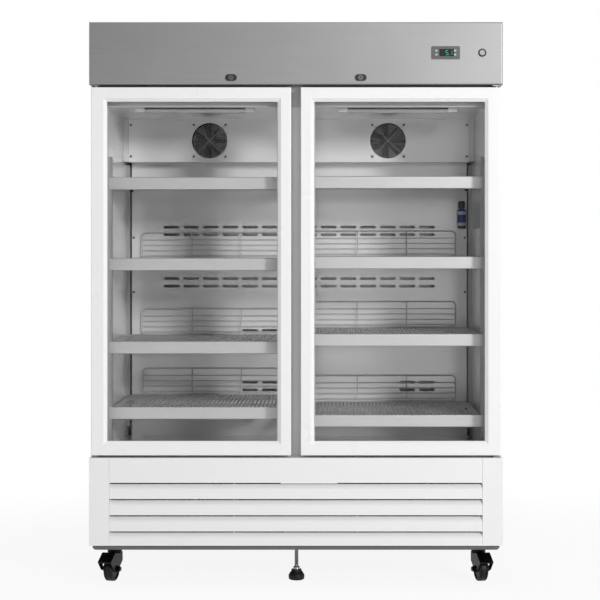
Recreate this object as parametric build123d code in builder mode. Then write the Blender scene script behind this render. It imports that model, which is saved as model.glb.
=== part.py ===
from build123d import *
import os
from math import cos, radians, sin

os.makedirs("parts", exist_ok=True)

# A two-door glass-fronted pharmacy refrigerator. X runs to the right as seen from the front, Y to the back
# and Z up. The origin is on the floor, in the middle of the footprint. All sizes are in millimetres.

# Overall size
cabinet_width = 1250.0
cabinet_height = 1702.0
overall_depth = 750.0
half_width = cabinet_width / 2

# Sheet metal, walls and clearances
sheet = 1.5
side_wall = 48.0
rear_wall = 48.0
floor_wall = 58.0
ceiling_wall = 60.0
seat_gap = 0.3
shaft_gap = 0.06

# Levels above the floor
caster_height = 105.0
pan_height = 15.0
base_top = 385.0
header_height = 189.5
floor_level = 393.0
ceiling_level = 1450.0
door_gap = 7.5
panel_bottom = caster_height + pan_height
header_bottom = cabinet_height - header_height
door_bottom = base_top + door_gap
door_top = header_bottom - door_gap
box_bottom = floor_level - floor_wall
box_top = ceiling_level + ceiling_wall

# Depths, from the faces of the doors to the back
switch_proud = 4.0
door_thickness = 50.0
gasket_depth = 10.0
frame_thickness = 14.0
duct_depth = 108.0
fan_box_proud = 84.0
front = -overall_depth / 2 + switch_proud
back = overall_depth / 2
frame_front = front + door_thickness + gasket_depth
frame_back = frame_front + frame_thickness
liner_back = back - rear_wall
duct_front = liner_back - duct_depth
fan_front = duct_front - fan_box_proud
interior_half = half_width - side_wall

# Doors
door_side_inset = 6.0
door_middle_gap = 29.0
door_rail = 43.0
hinge_stile = 47.5
lock_stile = 40.5
door_bevel = 10.0
door_bevel_depth = 10.0
door_edge = 3.0
glazing_overlap = 10.0
pane_thickness = 4.0
pane_spacing = 16.0
gasket_inset = 14.0
gasket_width = 14.0
gasket_landing = 3.0
mullion_margin = 7.5
mullion_half = door_middle_gap / 2 + gasket_inset + gasket_width + mullion_margin
sill_level = door_bottom + gasket_inset + gasket_width + gasket_landing
hinge_inset = 12.0
hinge_pin_radius = 5.0
hinge_pin_length = 18.0
hinge_plate = 3.0
hinge_setback = 20.0


def span(a, b):
    """Puts two limits in rising order."""
    return (min(a, b), max(a, b))


def block(xs, ys, zs, mode=Mode.ADD):
    """Adds or cuts a rectangular stretch of the part being built, between limits on X, Y and Z."""
    with BuildSketch(Plane.XY.offset(zs[0])) as footprint:
        with Locations(((xs[0] + xs[1]) / 2, (ys[0] + ys[1]) / 2)):
            Rectangle(xs[1] - xs[0], ys[1] - ys[0])
    extrude(footprint.sketch, amount=zs[1] - zs[0], mode=mode)


def facing_front(y):
    """A plane facing the user at depth y, with X to the right and Z up. Negative amounts go to the back."""
    return Plane.XZ.offset(-y)


def save(builder, name):
    """Labels a finished piece and writes it."""
    builder.part.label = name
    export_step(builder.part, f"parts/{name}.step")


# Outer sheet-metal shell
side_return = 24.0
rear_vent_count = 6
rear_vent_pitch = 22.0
rear_vent_length = 260.0
rear_vent_width = 8.0
inlet_x = 480.0
inlet_level = 200.0
inlet_width = 48.0
inlet_height = 28.0
inlet_flange = 6.0

with BuildPart() as side_panels:
    for side in (-1, 1):
        block(
            span(side * (half_width - sheet), side * half_width),
            (frame_front, back - sheet),
            (panel_bottom, cabinet_height - sheet),
        )
        block(
            span(side * (half_width - side_return), side * (half_width - sheet)),
            (frame_front, back - sheet),
            (panel_bottom, panel_bottom + sheet),
        )
save(side_panels, "side_panels")

with BuildPart() as rear_panel:
    block((-half_width, half_width), (back - sheet, back), (panel_bottom, cabinet_height))
    vent_level = (panel_bottom + box_bottom) / 2
    with BuildSketch(facing_front(back)):
        with Locations((0, vent_level)):
            with GridLocations(rear_vent_length, rear_vent_pitch, 1, rear_vent_count):
                Rectangle(rear_vent_length, rear_vent_width)
        with Locations((inlet_x, inlet_level)):
            Rectangle(inlet_width + 2 * seat_gap, inlet_height + 2 * seat_gap)
    extrude(amount=sheet, mode=Mode.SUBTRACT)
save(rear_panel, "rear_panel")

with BuildPart() as top_cover:
    block(
        (-half_width, half_width),
        (frame_front, back - sheet),
        (cabinet_height - sheet, cabinet_height),
    )
save(top_cover, "top_cover")

# Insulated box: liner, foam and the frame round the two doorways
liner_corner = 12.0
header_seat = 18.0
frame_top = header_bottom + header_seat

with BuildPart() as inner_liner:
    block(
        (-interior_half - sheet, interior_half + sheet),
        (frame_back, liner_back + sheet),
        (floor_level - sheet, ceiling_level + sheet),
    )
    fillet(inner_liner.edges().filter_by(Axis.Z).group_by(Axis.Y)[-1], liner_corner)
    offset(amount=-sheet, openings=inner_liner.faces().sort_by(Axis.Y)[0])
save(inner_liner, "inner_liner")

with BuildPart() as insulation_foam:
    block(
        (-half_width + sheet, half_width - sheet),
        (frame_back, back - sheet),
        (box_bottom, box_top),
    )
    block(
        (-interior_half - sheet, interior_half + sheet),
        (frame_back, liner_back + sheet),
        (floor_level - sheet, ceiling_level + sheet),
        mode=Mode.SUBTRACT,
    )
save(insulation_foam, "insulation_foam")

with BuildPart() as opening_frame:
    with BuildSketch(facing_front(frame_front)):
        with Locations((0, (box_bottom + frame_top) / 2)):
            Rectangle(2 * (half_width - sheet), frame_top - box_bottom)
        doorway_width = interior_half - mullion_half
        with Locations((0, (sill_level + ceiling_level) / 2)):
            with GridLocations(interior_half + mullion_half, 0, 2, 1):
                Rectangle(doorway_width, ceiling_level - sill_level, mode=Mode.SUBTRACT)
    extrude(amount=-frame_thickness)
save(opening_frame, "opening_frame")

# Header with its lock, controller and switch openings
header_edge = 4.0
lock_x = 196.0
lock_level = 1534.0
lock_plate_width = 35.0
lock_plate_height = 20.0
lock_plate_proud = 2.5
lock_sleeve_radius = 9.5
lock_plug_radius = 7.5
lock_length = 28.0
keyway_width = 2.4
keyway_height = 8.0
cam_length = 24.5
cam_width = 8.0
cam_thickness = 2.5
controller_x = 452.5
controller_level = 1609.0
controller_width = 86.0
controller_height = 39.0
controller_proud = 2.5
controller_body_depth = 42.0
controller_body_margin = 5.0
window_width = 44.0
window_height = 22.0
window_depth = 2.0
window_offset = 2.5
key_width = 7.0
key_height = 6.0
key_proud = 1.0
key_depth = 5.0
key_travel = 0.8
key_spread = 56.5
key_rise = 12.0
switch_x = 563.0
switch_level = 1609.0
switch_ring_radius = 12.4
switch_ring_proud = 2.5
switch_cap_radius = 7.9
switch_barrel_radius = 10.0
switch_barrel_depth = 30.0
switch_travel = 1.5

with BuildPart() as header_panel:
    block((-half_width, half_width), (front, frame_front), (header_bottom, cabinet_height))
    fillet(header_panel.faces().sort_by(Axis.Y)[0].edges(), header_edge)
    offset(amount=-sheet, openings=header_panel.faces().sort_by(Axis.Y)[-1])
    with BuildSketch(facing_front(front)):
        with Locations((-lock_x, lock_level), (lock_x, lock_level)):
            Circle(lock_sleeve_radius + seat_gap)
        with Locations((controller_x, controller_level)):
            Rectangle(
                controller_width - 2 * controller_body_margin + 2 * seat_gap,
                controller_height - 2 * controller_body_margin + 2 * seat_gap,
            )
        with Locations((switch_x, switch_level)):
            Circle(switch_barrel_radius + seat_gap)
    extrude(amount=-sheet, mode=Mode.SUBTRACT)
    for side in (-1, 1):
        block(
            span(side * (lock_x - cam_width), side * (lock_x + cam_length)),
            (front + lock_length - 2 * cam_thickness, front + lock_length + 2 * cam_thickness),
            (header_bottom, header_bottom + sheet),
            mode=Mode.SUBTRACT,
        )
save(header_panel, "header_panel")

with BuildPart() as lock_housings:
    for side in (-1, 1):
        with BuildSketch(facing_front(front)):
            with Locations((side * lock_x, lock_level)):
                SlotOverall(lock_plate_width, lock_plate_height)
        extrude(amount=lock_plate_proud)
        with BuildSketch(facing_front(front)):
            with Locations((side * lock_x, lock_level)):
                Circle(lock_sleeve_radius)
        extrude(amount=-(lock_length - 2 * cam_thickness))
        with BuildSketch(facing_front(front - lock_plate_proud)):
            with Locations((side * lock_x, lock_level)):
                Circle(lock_plug_radius + shaft_gap)
        extrude(amount=-(lock_length + lock_plate_proud), mode=Mode.SUBTRACT)
save(lock_housings, "lock_housings")

for side, side_name in ((-1, "left"), (1, "right")):
    with BuildPart() as lock_plug:
        with BuildSketch(facing_front(front - lock_plate_proud)):
            with Locations((side * lock_x, lock_level)):
                Circle(lock_plug_radius)
        extrude(amount=-(lock_plate_proud + lock_length - cam_thickness))
        with BuildSketch(facing_front(front - lock_plate_proud)):
            with Locations((side * lock_x, lock_level)):
                Rectangle(keyway_width, keyway_height)
        extrude(amount=-lock_length / 2, mode=Mode.SUBTRACT)
        # The cam is a flat bar that lies outwards while the lock is open
        with BuildSketch(facing_front(front + lock_length - cam_thickness)):
            with Locations((side * (lock_x + (cam_length - cam_width / 2) / 2), lock_level)):
                SlotOverall(cam_length + cam_width / 2, cam_width)
        extrude(amount=-cam_thickness)
    save(lock_plug, f"{side_name}_lock_plug")

with BuildPart() as controller_bezel:
    with BuildSketch(facing_front(front)):
        with Locations((controller_x, controller_level)):
            RectangleRounded(controller_width, controller_height, controller_proud)
    extrude(amount=controller_proud)
    with BuildSketch(facing_front(front)):
        with Locations((controller_x, controller_level)):
            Rectangle(
                controller_width - 2 * controller_body_margin,
                controller_height - 2 * controller_body_margin,
            )
    extrude(amount=-controller_body_depth)
    with BuildSketch(facing_front(front - controller_proud)):
        with Locations((controller_x + window_offset, controller_level)):
            Rectangle(window_width, window_height)
    extrude(amount=-window_depth, mode=Mode.SUBTRACT)
    with BuildSketch(facing_front(front - controller_proud)):
        with Locations((controller_x, controller_level)):
            with GridLocations(key_spread, key_rise, 2, 2):
                Rectangle(key_width + 2 * seat_gap, key_height + 2 * seat_gap)
    extrude(amount=-(key_depth + key_travel), mode=Mode.SUBTRACT)
save(controller_bezel, "controller_bezel")

with BuildPart() as display_window:
    with BuildSketch(facing_front(front - controller_proud + window_depth)):
        with Locations((controller_x + window_offset, controller_level)):
            Rectangle(window_width - 2 * seat_gap, window_height - 2 * seat_gap)
    extrude(amount=window_depth - seat_gap)
save(display_window, "display_window")

key_places = {
    "key_menu": (-1, 1),
    "key_set": (-1, -1),
    "key_up": (1, 1),
    "key_down": (1, -1),
}
for key_name, (column, row) in key_places.items():
    with BuildPart() as key:
        with BuildSketch(facing_front(front - controller_proud - key_proud)):
            with Locations(
                (controller_x + column * key_spread / 2, controller_level + row * key_rise / 2)
            ):
                RectangleRounded(key_width, key_height, key_proud)
        extrude(amount=-(key_proud + key_depth - seat_gap))
    save(key, key_name)

with BuildPart() as switch_ring:
    with BuildSketch(facing_front(front)):
        with Locations((switch_x, switch_level)):
            Circle(switch_ring_radius)
    extrude(amount=switch_ring_proud)
    chamfer(switch_ring.faces().sort_by(Axis.Y)[0].edges(), switch_ring_proud / 2)
    with BuildSketch(facing_front(front)):
        with Locations((switch_x, switch_level)):
            Circle(switch_barrel_radius)
    extrude(amount=-switch_barrel_depth)
    with BuildSketch(facing_front(front - switch_ring_proud)):
        with Locations((switch_x, switch_level)):
            Circle(switch_cap_radius + shaft_gap)
    extrude(amount=-(switch_barrel_depth / 2), mode=Mode.SUBTRACT)
save(switch_ring, "switch_ring")

with BuildPart() as switch_cap:
    with BuildSketch(facing_front(front - switch_proud)):
        with Locations((switch_x, switch_level)):
            Circle(switch_cap_radius)
    extrude(amount=-(switch_proud - switch_ring_proud + switch_barrel_depth / 2 - switch_travel - seat_gap))
save(switch_cap, "switch_cap")

# Doors: a solid profile frame with a bevelled inner edge, a sealed pair of panes and a magnetic gasket
door_height = door_top - door_bottom
door_middle_level = (door_top + door_bottom) / 2
door_width = half_width - door_side_inset - door_middle_gap / 2
glazing_front = front + door_bevel_depth
glazing_depth = 2 * pane_thickness + pane_spacing


def door_sketch(side, y, inset):
    """One door's outline at depth y, smaller by inset on every side."""
    with BuildSketch(facing_front(y)) as outline:
        with Locations((side * (door_middle_gap / 2 + door_width / 2), door_middle_level)):
            Rectangle(door_width - 2 * inset, door_height - 2 * inset)
    return outline.sketch


def sight_sketch(side, y, margin):
    """The outline of one door's sight opening at depth y, larger by margin on every side."""
    sight_start = door_middle_gap / 2 + lock_stile
    sight_end = door_middle_gap / 2 + door_width - hinge_stile
    with BuildSketch(facing_front(y)) as outline:
        with Locations((side * (sight_start + sight_end) / 2, door_middle_level)):
            Rectangle(sight_end - sight_start + 2 * margin, door_height - 2 * door_rail + 2 * margin)
    return outline.sketch


for side, side_name in ((-1, "left"), (1, "right")):
    hinge_x = side * (half_width - door_side_inset - hinge_inset)

    with BuildPart() as door_frame:
        extrude(door_sketch(side, front, 0), amount=-door_thickness)
        fillet(door_frame.faces().sort_by(Axis.Y)[0].edges(), door_edge)
        # The sight opening narrows from the face to the glass
        sight_outer = sight_sketch(side, front, door_bevel)
        sight_inner = sight_sketch(side, glazing_front, 0)
        loft([sight_outer, sight_inner], mode=Mode.SUBTRACT)
        # Rebate for the glazing, open to the back
        rebate = sight_sketch(side, glazing_front, glazing_overlap)
        extrude(rebate, amount=-(door_thickness - door_bevel_depth), mode=Mode.SUBTRACT)
        # Pivot holes in the top and bottom edges
        for level, direction in ((door_top, -1), (door_bottom, 1)):
            with BuildSketch(Plane.XY.offset(level)):
                with Locations((hinge_x, front + hinge_setback)):
                    Circle(hinge_pin_radius + shaft_gap)
            extrude(amount=direction * (hinge_pin_length + seat_gap), mode=Mode.SUBTRACT)
    save(door_frame, f"{side_name}_door_frame")

    with BuildPart() as door_glass:
        pane_margin = glazing_overlap - seat_gap
        for pane_front in (glazing_front, glazing_front + pane_thickness + pane_spacing):
            extrude(sight_sketch(side, pane_front, pane_margin), amount=-pane_thickness)
    save(door_glass, f"{side_name}_door_glass")

    with BuildPart() as door_gasket:
        door_back = front + door_thickness
        ring_outer = door_sketch(side, door_back, gasket_inset)
        extrude(ring_outer, amount=-(gasket_depth - seat_gap))
        ring_inner = door_sketch(side, door_back, gasket_inset + gasket_width)
        extrude(ring_inner, amount=-gasket_depth, mode=Mode.SUBTRACT)
    save(door_gasket, f"{side_name}_door_gasket")

with BuildPart() as hinge_brackets:
    for side in (-1, 1):
        hinge_x = side * (half_width - door_side_inset - hinge_inset)
        hinge_y = front + hinge_setback
        for level, direction in ((door_top, 1), (door_bottom, -1)):
            plate_level = level + direction * (door_gap - hinge_plate - seat_gap)
            plate_far = plate_level + direction * hinge_plate
            block(
                (hinge_x - hinge_inset, hinge_x + hinge_inset),
                (hinge_y - hinge_inset, frame_front),
                span(plate_level, plate_far),
            )
            with BuildSketch(Plane.XY.offset(plate_level)):
                with Locations((hinge_x, hinge_y)):
                    Circle(hinge_pin_radius)
            reach = door_gap - hinge_plate - seat_gap + hinge_pin_length
            extrude(amount=-direction * reach)
save(hinge_brackets, "hinge_brackets")

# Fan housing, air duct panel and what stands behind them
panel_half = 563.0
fan_box_bottom = 1308.0
fan_x = 295.5
fan_level = 1379.0
fan_opening_radius = 58.0
fan_size = 120.0
fan_depth = 38.0
fan_hole_spacing = 105.0
guard_wire = 1.8
guard_ring_pitch = 6.5
guard_ring_count = 9
guard_ear_radius = 5.5
fan_hub_radius = 19.0
fan_blade_count = 7
fan_blade_tip = 54.5
fan_blade_chord = 22.0
fan_blade_thickness = 2.0
fan_blade_angle = 38.0
fan_shaft_radius = 3.0
fan_motor_depth = 14.0
rotor_clearance = 4.0
slot_count = 14
slot_pitch = 66.0
slot_length = 52.8
slot_width = 9.4
slot_pair_rise = 25.5
slot_pair_levels = (1081.5, 908.5)
lower_slot_levels = (734.0, 560.0)
lower_slot_columns = (4, 5, 12, 13)
screw_head_radius = 4.0
screw_head_height = 2.0
screw_inset = 6.5
screw_rise = 104.0
duct_screw_levels = (505.0, 876.0, 1059.0)

with BuildPart() as fan_cover:
    block(
        (-panel_half, panel_half), (fan_front, fan_front + sheet), (fan_box_bottom, ceiling_level)
    )
    block(
        (-panel_half, panel_half),
        (fan_front + sheet, duct_front + sheet),
        (fan_box_bottom, fan_box_bottom + sheet),
    )
    for side in (-1, 1):
        block(
            span(side * (panel_half - sheet), side * panel_half),
            (fan_front + sheet, liner_back),
            (fan_box_bottom + sheet, ceiling_level),
        )
    with BuildSketch(facing_front(fan_front)):
        with Locations((-fan_x, fan_level), (fan_x, fan_level)):
            Circle(fan_opening_radius)
    extrude(amount=-sheet, mode=Mode.SUBTRACT)
save(fan_cover, "fan_cover")

with BuildPart() as duct_panel:
    block(
        (-panel_half, panel_half), (duct_front, duct_front + sheet), (floor_level, fan_box_bottom)
    )
    for side in (-1, 1):
        block(
            span(side * (panel_half - sheet), side * panel_half),
            (duct_front + sheet, liner_back),
            (floor_level, fan_box_bottom),
        )
    with BuildSketch(facing_front(duct_front)):
        for pair_level in slot_pair_levels:
            with Locations((0, pair_level)):
                with GridLocations(slot_pitch, slot_pair_rise, slot_count, 2):
                    SlotOverall(slot_length, slot_width)
        for pair_level in lower_slot_levels:
            for column in lower_slot_columns:
                with Locations(((column - (slot_count - 1) / 2) * slot_pitch, pair_level)):
                    with GridLocations(0, slot_pair_rise, 1, 2):
                        SlotOverall(slot_length, slot_width)
    extrude(amount=-sheet, mode=Mode.SUBTRACT)
save(duct_panel, "duct_panel")

with BuildPart() as fan_guards:
    with BuildSketch(facing_front(fan_front)):
        with Locations((-fan_x, fan_level), (fan_x, fan_level)):
            for ring in range(1, guard_ring_count + 1):
                Circle(ring * guard_ring_pitch + guard_wire / 2)
                Circle(ring * guard_ring_pitch - guard_wire / 2, mode=Mode.SUBTRACT)
        with Locations((-fan_x, fan_level), (fan_x, fan_level)):
            diagonal = fan_hole_spacing * 2**0.5
            Rectangle(diagonal, guard_wire, rotation=45)
            Rectangle(diagonal, guard_wire, rotation=-45)
            with GridLocations(fan_hole_spacing, fan_hole_spacing, 2, 2):
                Circle(guard_ear_radius)
    extrude(amount=guard_wire)
save(fan_guards, "fan_guards")

fan_back = fan_front + sheet + fan_depth
with BuildPart() as fan_motors:
    for side in (-1, 1):
        with BuildSketch(facing_front(fan_front + sheet)):
            with Locations((side * fan_x, fan_level)):
                Rectangle(fan_size, fan_size)
                Circle(fan_opening_radius, mode=Mode.SUBTRACT)
        extrude(amount=-fan_depth)
        with BuildSketch(facing_front(fan_back)):
            with Locations((side * fan_x, fan_level)):
                Rectangle(fan_size, 2 * fan_shaft_radius)
                Rectangle(2 * fan_shaft_radius, fan_size)
                Circle(fan_hub_radius)
        extrude(amount=fan_motor_depth / 2)
        with BuildSketch(facing_front(fan_back)):
            with Locations((side * fan_x, fan_level)):
                Circle(fan_hub_radius)
        extrude(amount=fan_motor_depth)
        with BuildSketch(facing_front(fan_back)):
            with Locations((side * fan_x, fan_level)):
                Circle(fan_shaft_radius)
        extrude(amount=fan_depth - fan_hub_radius / 2)
save(fan_motors, "fan_motors")


def blade_planes(x, y, z, count):
    """Planes square to evenly spaced spokes of a wheel that turns about a line along Y."""
    for turn in range(count):
        angle = radians(360 * turn / count)
        yield Plane(origin=(x, y, z), x_dir=(0, 1, 0), z_dir=(cos(angle), 0, sin(angle)))


rotor_back = fan_back - fan_motor_depth - seat_gap
rotor_depth = fan_depth - fan_motor_depth - rotor_clearance
for side, side_name in ((-1, "left"), (1, "right")):
    with BuildPart() as fan_rotor:
        with BuildSketch(facing_front(rotor_back)):
            with Locations((side * fan_x, fan_level)):
                Circle(fan_hub_radius)
        extrude(amount=rotor_depth)
        rotor_middle = rotor_back - rotor_depth / 2
        for spoke in blade_planes(side * fan_x, rotor_middle, fan_level, fan_blade_count):
            with BuildSketch(spoke):
                Rectangle(fan_blade_chord, fan_blade_thickness, rotation=fan_blade_angle)
            extrude(amount=fan_blade_tip)
        with BuildSketch(facing_front(rotor_back)):
            with Locations((side * fan_x, fan_level)):
                Circle(fan_shaft_radius + shaft_gap)
        extrude(amount=rotor_depth, mode=Mode.SUBTRACT)
    save(fan_rotor, f"{side_name}_fan_rotor")

coil_half = 470.0
coil_depth = 76.0
coil_height = 96.0
coil_fin = 2.0
coil_fin_count = 16
coil_tube_radius = 5.0
coil_tube_sides = 8
coil_clearance = 20.0
coil_front = fan_back + coil_clearance
with BuildPart() as evaporator_coil:
    fin_step = 2 * coil_half / (coil_fin_count - 1)
    with BuildSketch(Plane.YZ.offset(-coil_half - coil_fin / 2)):
        with Locations((coil_front + coil_depth / 2, ceiling_level - coil_height / 2)):
            Rectangle(coil_depth, coil_height)
    extrude(amount=coil_fin)
    for fin in range(1, coil_fin_count):
        with BuildSketch(Plane.YZ.offset(-coil_half + fin * fin_step - coil_fin / 2)):
            with Locations((coil_front + coil_depth / 2, ceiling_level - coil_height / 2)):
                Rectangle(coil_depth, coil_height)
        extrude(amount=coil_fin)
    with BuildSketch(Plane.YZ.offset(-coil_half - 2 * coil_tube_radius)):
        with Locations((coil_front + coil_depth / 2, ceiling_level - coil_height / 2)):
            with GridLocations(coil_depth / 2, coil_height / 3, 2, 3):
                RegularPolygon(coil_tube_radius, coil_tube_sides)
    extrude(amount=2 * coil_half + 4 * coil_tube_radius)
save(evaporator_coil, "evaporator_coil")

# Lights under the ceiling, just behind the doors
light_x = 311.5
light_length = 365.0
light_width = 30.0
light_height = 12.0
light_setback = 26.0
diffuser_height = 3.0
light_y = frame_back + light_setback

with BuildPart() as light_bars:
    for side in (-1, 1):
        with BuildSketch(Plane.YZ.offset(side * light_x - light_length / 2)):
            with BuildLine():
                Polyline(
                    (light_y - light_width / 2, ceiling_level),
                    (light_y + light_width / 2, ceiling_level),
                    (light_y + light_width / 2 - light_height / 2, ceiling_level - light_height),
                    (light_y - light_width / 2 + light_height / 2, ceiling_level - light_height),
                    close=True,
                )
            make_face()
        extrude(amount=light_length)
save(light_bars, "light_bars")

with BuildPart() as light_diffusers:
    for side in (-1, 1):
        diffuser_half = light_length / 2 - light_width
        block(
            (side * light_x - diffuser_half, side * light_x + diffuser_half),
            (light_y - light_width / 4, light_y + light_width / 4),
            (ceiling_level - light_height - diffuser_height, ceiling_level - light_height),
        )
save(light_diffusers, "light_diffusers")

# Shelf standards, clips, shelves and their back stops
standard_thickness = 11.0
standard_width = 25.0
standard_bottom = 430.0
standard_top = 1300.0
standard_slot_pitch = 58.0
standard_slot_height = 14.0
standard_slot_width = 5.0
standard_middle_half = 8.0
front_standard_setback = 5.0
rear_standard_setback = 14.0
front_standard_y = frame_back + front_standard_setback
rear_standard_y = duct_front - rear_standard_setback - standard_width
shelf_levels = {"left": (1236.0, 988.0, 733.0, 532.0), "right": (1239.0, 993.0, 756.0, 508.0)}
shelf_sheet = 2.0
shelf_lip = 36.0
shelf_flange = 16.0
shelf_middle_gap = 10.0
shelf_side_gap = 1.0
shelf_lip_setback = 2.0
shelf_slot_columns = 12
shelf_slot_rows = 3
shelf_slot_share = 0.45
shelf_slot_margin = 30.0
shelf_row_bridge = 40.0
clip_height = 8.0
clip_reach = 11.0
clip_width = 18.0
stop_inner = 28.0
stop_outer = 527.0
stop_height = 90.0
stop_wire = 4.0
stop_cross_wire = 2.8
stop_bays = 3
stop_wire_levels = (11.0, 28.6, 46.4, 64.0)
stop_corner = 16.0

shelf_outer = interior_half - standard_thickness - shelf_side_gap
shelf_front = frame_back + shelf_lip_setback
shelf_back = duct_front - standard_thickness - shelf_side_gap


def standard_slots(plane, middle, depth):
    """Cuts the row of clip slots of one standard, on a plane whose Y is up."""
    count = int((standard_top - standard_bottom) / standard_slot_pitch)
    with BuildSketch(plane) as slots:
        with Locations((middle, (standard_top + standard_bottom) / 2)):
            with GridLocations(0, standard_slot_pitch, 1, count):
                Rectangle(standard_slot_width, standard_slot_height)
    extrude(slots.sketch, amount=-depth, mode=Mode.SUBTRACT)


with BuildPart() as shelf_standards:
    levels = (standard_bottom, standard_top)
    for side in (-1, 1):
        face = interior_half - standard_thickness
        for start in (front_standard_y, rear_standard_y):
            block(span(side * face, side * interior_half), (start, start + standard_width), levels)
            slot_plane = Plane(origin=(side * face, 0, 0), x_dir=(0, -side, 0), z_dir=(-side, 0, 0))
            middle = -side * (start + standard_width / 2)
            standard_slots(slot_plane, middle, standard_thickness / 2)
    middle_xs = (-standard_middle_half, standard_middle_half)
    block(middle_xs, (frame_back, frame_back + standard_thickness), levels)
    block(middle_xs, (duct_front - standard_thickness, duct_front), levels)
    standard_slots(facing_front(duct_front - standard_thickness), 0, standard_thickness / 2)
save(shelf_standards, "shelf_standards")

with BuildPart() as shelf_clips:
    for side, side_name in ((-1, "left"), (1, "right")):
        for level in shelf_levels[side_name]:
            clip_top = level - shelf_flange
            clip_levels = (clip_top - clip_height, clip_top)
            face = interior_half - standard_thickness
            for start in (front_standard_y, rear_standard_y):
                middle = start + standard_width / 2
                block(
                    span(side * (face - clip_reach), side * face),
                    (middle - clip_width / 2, middle + clip_width / 2),
                    clip_levels,
                )
            middle_xs = span(side * seat_gap, side * (shelf_middle_gap + clip_reach))
            front_face = frame_back + standard_thickness
            rear_face = duct_front - standard_thickness
            block(middle_xs, (front_face, front_face + clip_width), clip_levels)
            block(middle_xs, (rear_face - clip_width, rear_face), clip_levels)
save(shelf_clips, "shelf_clips")

for side, side_name in ((-1, "left"), (1, "right")):
    with BuildPart() as shelves:
        deck_xs = span(side * shelf_middle_gap, side * shelf_outer)
        deck_width = deck_xs[1] - deck_xs[0]
        slot_field = deck_width - 2 * shelf_slot_margin
        column_pitch = slot_field / shelf_slot_columns
        deck_depth = shelf_back - shelf_front
        row_pitch = (deck_depth - shelf_row_bridge) / shelf_slot_rows
        lip_xs = span(side * shelf_middle_gap, side * (interior_half - 3 * shelf_side_gap))
        for level in shelf_levels[side_name]:
            block(deck_xs, (shelf_front, shelf_back), (level - shelf_sheet, level))
            # Front lip, which also covers the front standards
            block(lip_xs, (shelf_front, shelf_front + shelf_sheet), (level - shelf_lip, level))
            # Flanges turned down along the other three sides
            block(
                deck_xs,
                (shelf_back - shelf_sheet, shelf_back),
                (level - shelf_flange, level - shelf_sheet),
            )
            for edge_x in (side * shelf_middle_gap, side * (shelf_outer - shelf_sheet)):
                block(
                    span(edge_x, edge_x + side * shelf_sheet),
                    (shelf_front + shelf_sheet, shelf_back - shelf_sheet),
                    (level - shelf_flange, level - shelf_sheet),
                )
            with BuildSketch(Plane.XY.offset(level)):
                with Locations(((deck_xs[0] + deck_xs[1]) / 2, (shelf_front + shelf_back) / 2)):
                    with GridLocations(column_pitch, row_pitch, shelf_slot_columns, shelf_slot_rows):
                        Rectangle(column_pitch * shelf_slot_share, row_pitch - shelf_row_bridge)
            extrude(amount=-shelf_sheet, mode=Mode.SUBTRACT)
    save(shelves, f"{side_name}_shelves")

with BuildPart() as back_stops:
    stop_width = stop_outer - stop_inner
    for side, side_name in ((-1, "left"), (1, "right")):
        for level in shelf_levels[side_name][1:]:
            with BuildSketch(facing_front(shelf_back - stop_wire)):
                with Locations((side * (stop_inner + stop_outer) / 2, level + stop_height / 2)):
                    RectangleRounded(stop_width, stop_height, stop_corner)
                    RectangleRounded(
                        stop_width - 2 * stop_wire,
                        stop_height - 2 * stop_wire,
                        stop_corner - stop_wire,
                        mode=Mode.SUBTRACT,
                    )
                    with GridLocations((stop_width - stop_wire) / stop_bays, 0, stop_bays - 1, 1):
                        Rectangle(stop_wire, stop_height - stop_wire)
                for wire_level in stop_wire_levels:
                    with Locations((side * (stop_inner + stop_outer) / 2, level + wire_level)):
                        Rectangle(stop_width - stop_wire, stop_cross_wire)
            extrude(amount=-stop_wire)
save(back_stops, "back_stops")

# Buffer bottle of the temperature sensor, held against the duct panel
bottle_x = 545.0
bottle_bottom = 1089.0
bottle_height = 92.0
bottle_radius = 15.0
bottle_cap_radius = 11.0
bottle_cap_height = 26.0
bottle_foot_height = 8.0
bottle_band_height = 12.0
bottle_band = 1.5
bottle_y = duct_front - bottle_radius - bottle_band

with BuildPart() as sensor_bottle:
    bottle_plane = Plane(origin=(bottle_x, bottle_y, bottle_bottom), x_dir=(1, 0, 0), z_dir=(0, -1, 0))
    shoulder = bottle_height - bottle_cap_height
    with BuildSketch(bottle_plane):
        with BuildLine():
            Polyline(
                (0, 0),
                (bottle_radius - bottle_band, 0),
                (bottle_radius - bottle_band, bottle_foot_height),
                (bottle_radius, bottle_foot_height),
                (bottle_radius, shoulder - bottle_foot_height),
                (bottle_cap_radius, shoulder),
                (bottle_cap_radius, bottle_height),
                (0, bottle_height),
                close=True,
            )
        make_face()
    revolve(axis=Axis(bottle_plane.origin, (0, 0, 1)))
    for band_level in (bottle_foot_height, shoulder - bottle_foot_height - bottle_band_height):
        with BuildSketch(Plane.XY.offset(bottle_bottom + band_level)):
            with Locations((bottle_x, bottle_y)):
                Circle(bottle_radius + bottle_band)
            with Locations((bottle_x, bottle_y + bottle_radius)):
                Rectangle(bottle_radius, 2 * bottle_band)
        extrude(amount=bottle_band_height)
save(sensor_bottle, "sensor_bottle")

# Base: pan, corner posts, louvred front and the machine it covers
pan_half = 617.0
pan_setback = 12.0
pan_wall = 3.0
pan_corner = 10.0
pan_chamfer = 6.0
post_width = 61.0
grille_gap = 0.5
louvre_pitch = 48.9
louvre_top = 310.0
louvre_count = 4
louvre_gap = 5.0
louvre_slope = 14.0
louvre_recess = 12.0
grille_return = 18.0
foot_setback = 100.0
foot_stem_radius = 6.0
foot_pad_radius = 24.5
foot_pad_height = 17.0
foot_pad_edge = 4.0
foot_cone_height = 16.0
foot_cone_radius = 15.0
foot_collar_height = 9.0
foot_collar_radius = 10.5
foot_boss_size = 86.0
foot_boss_height = 8.0
foot_thread_length = 24.0
foot_y = front + foot_setback
pan_floor = caster_height + pan_wall

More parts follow.
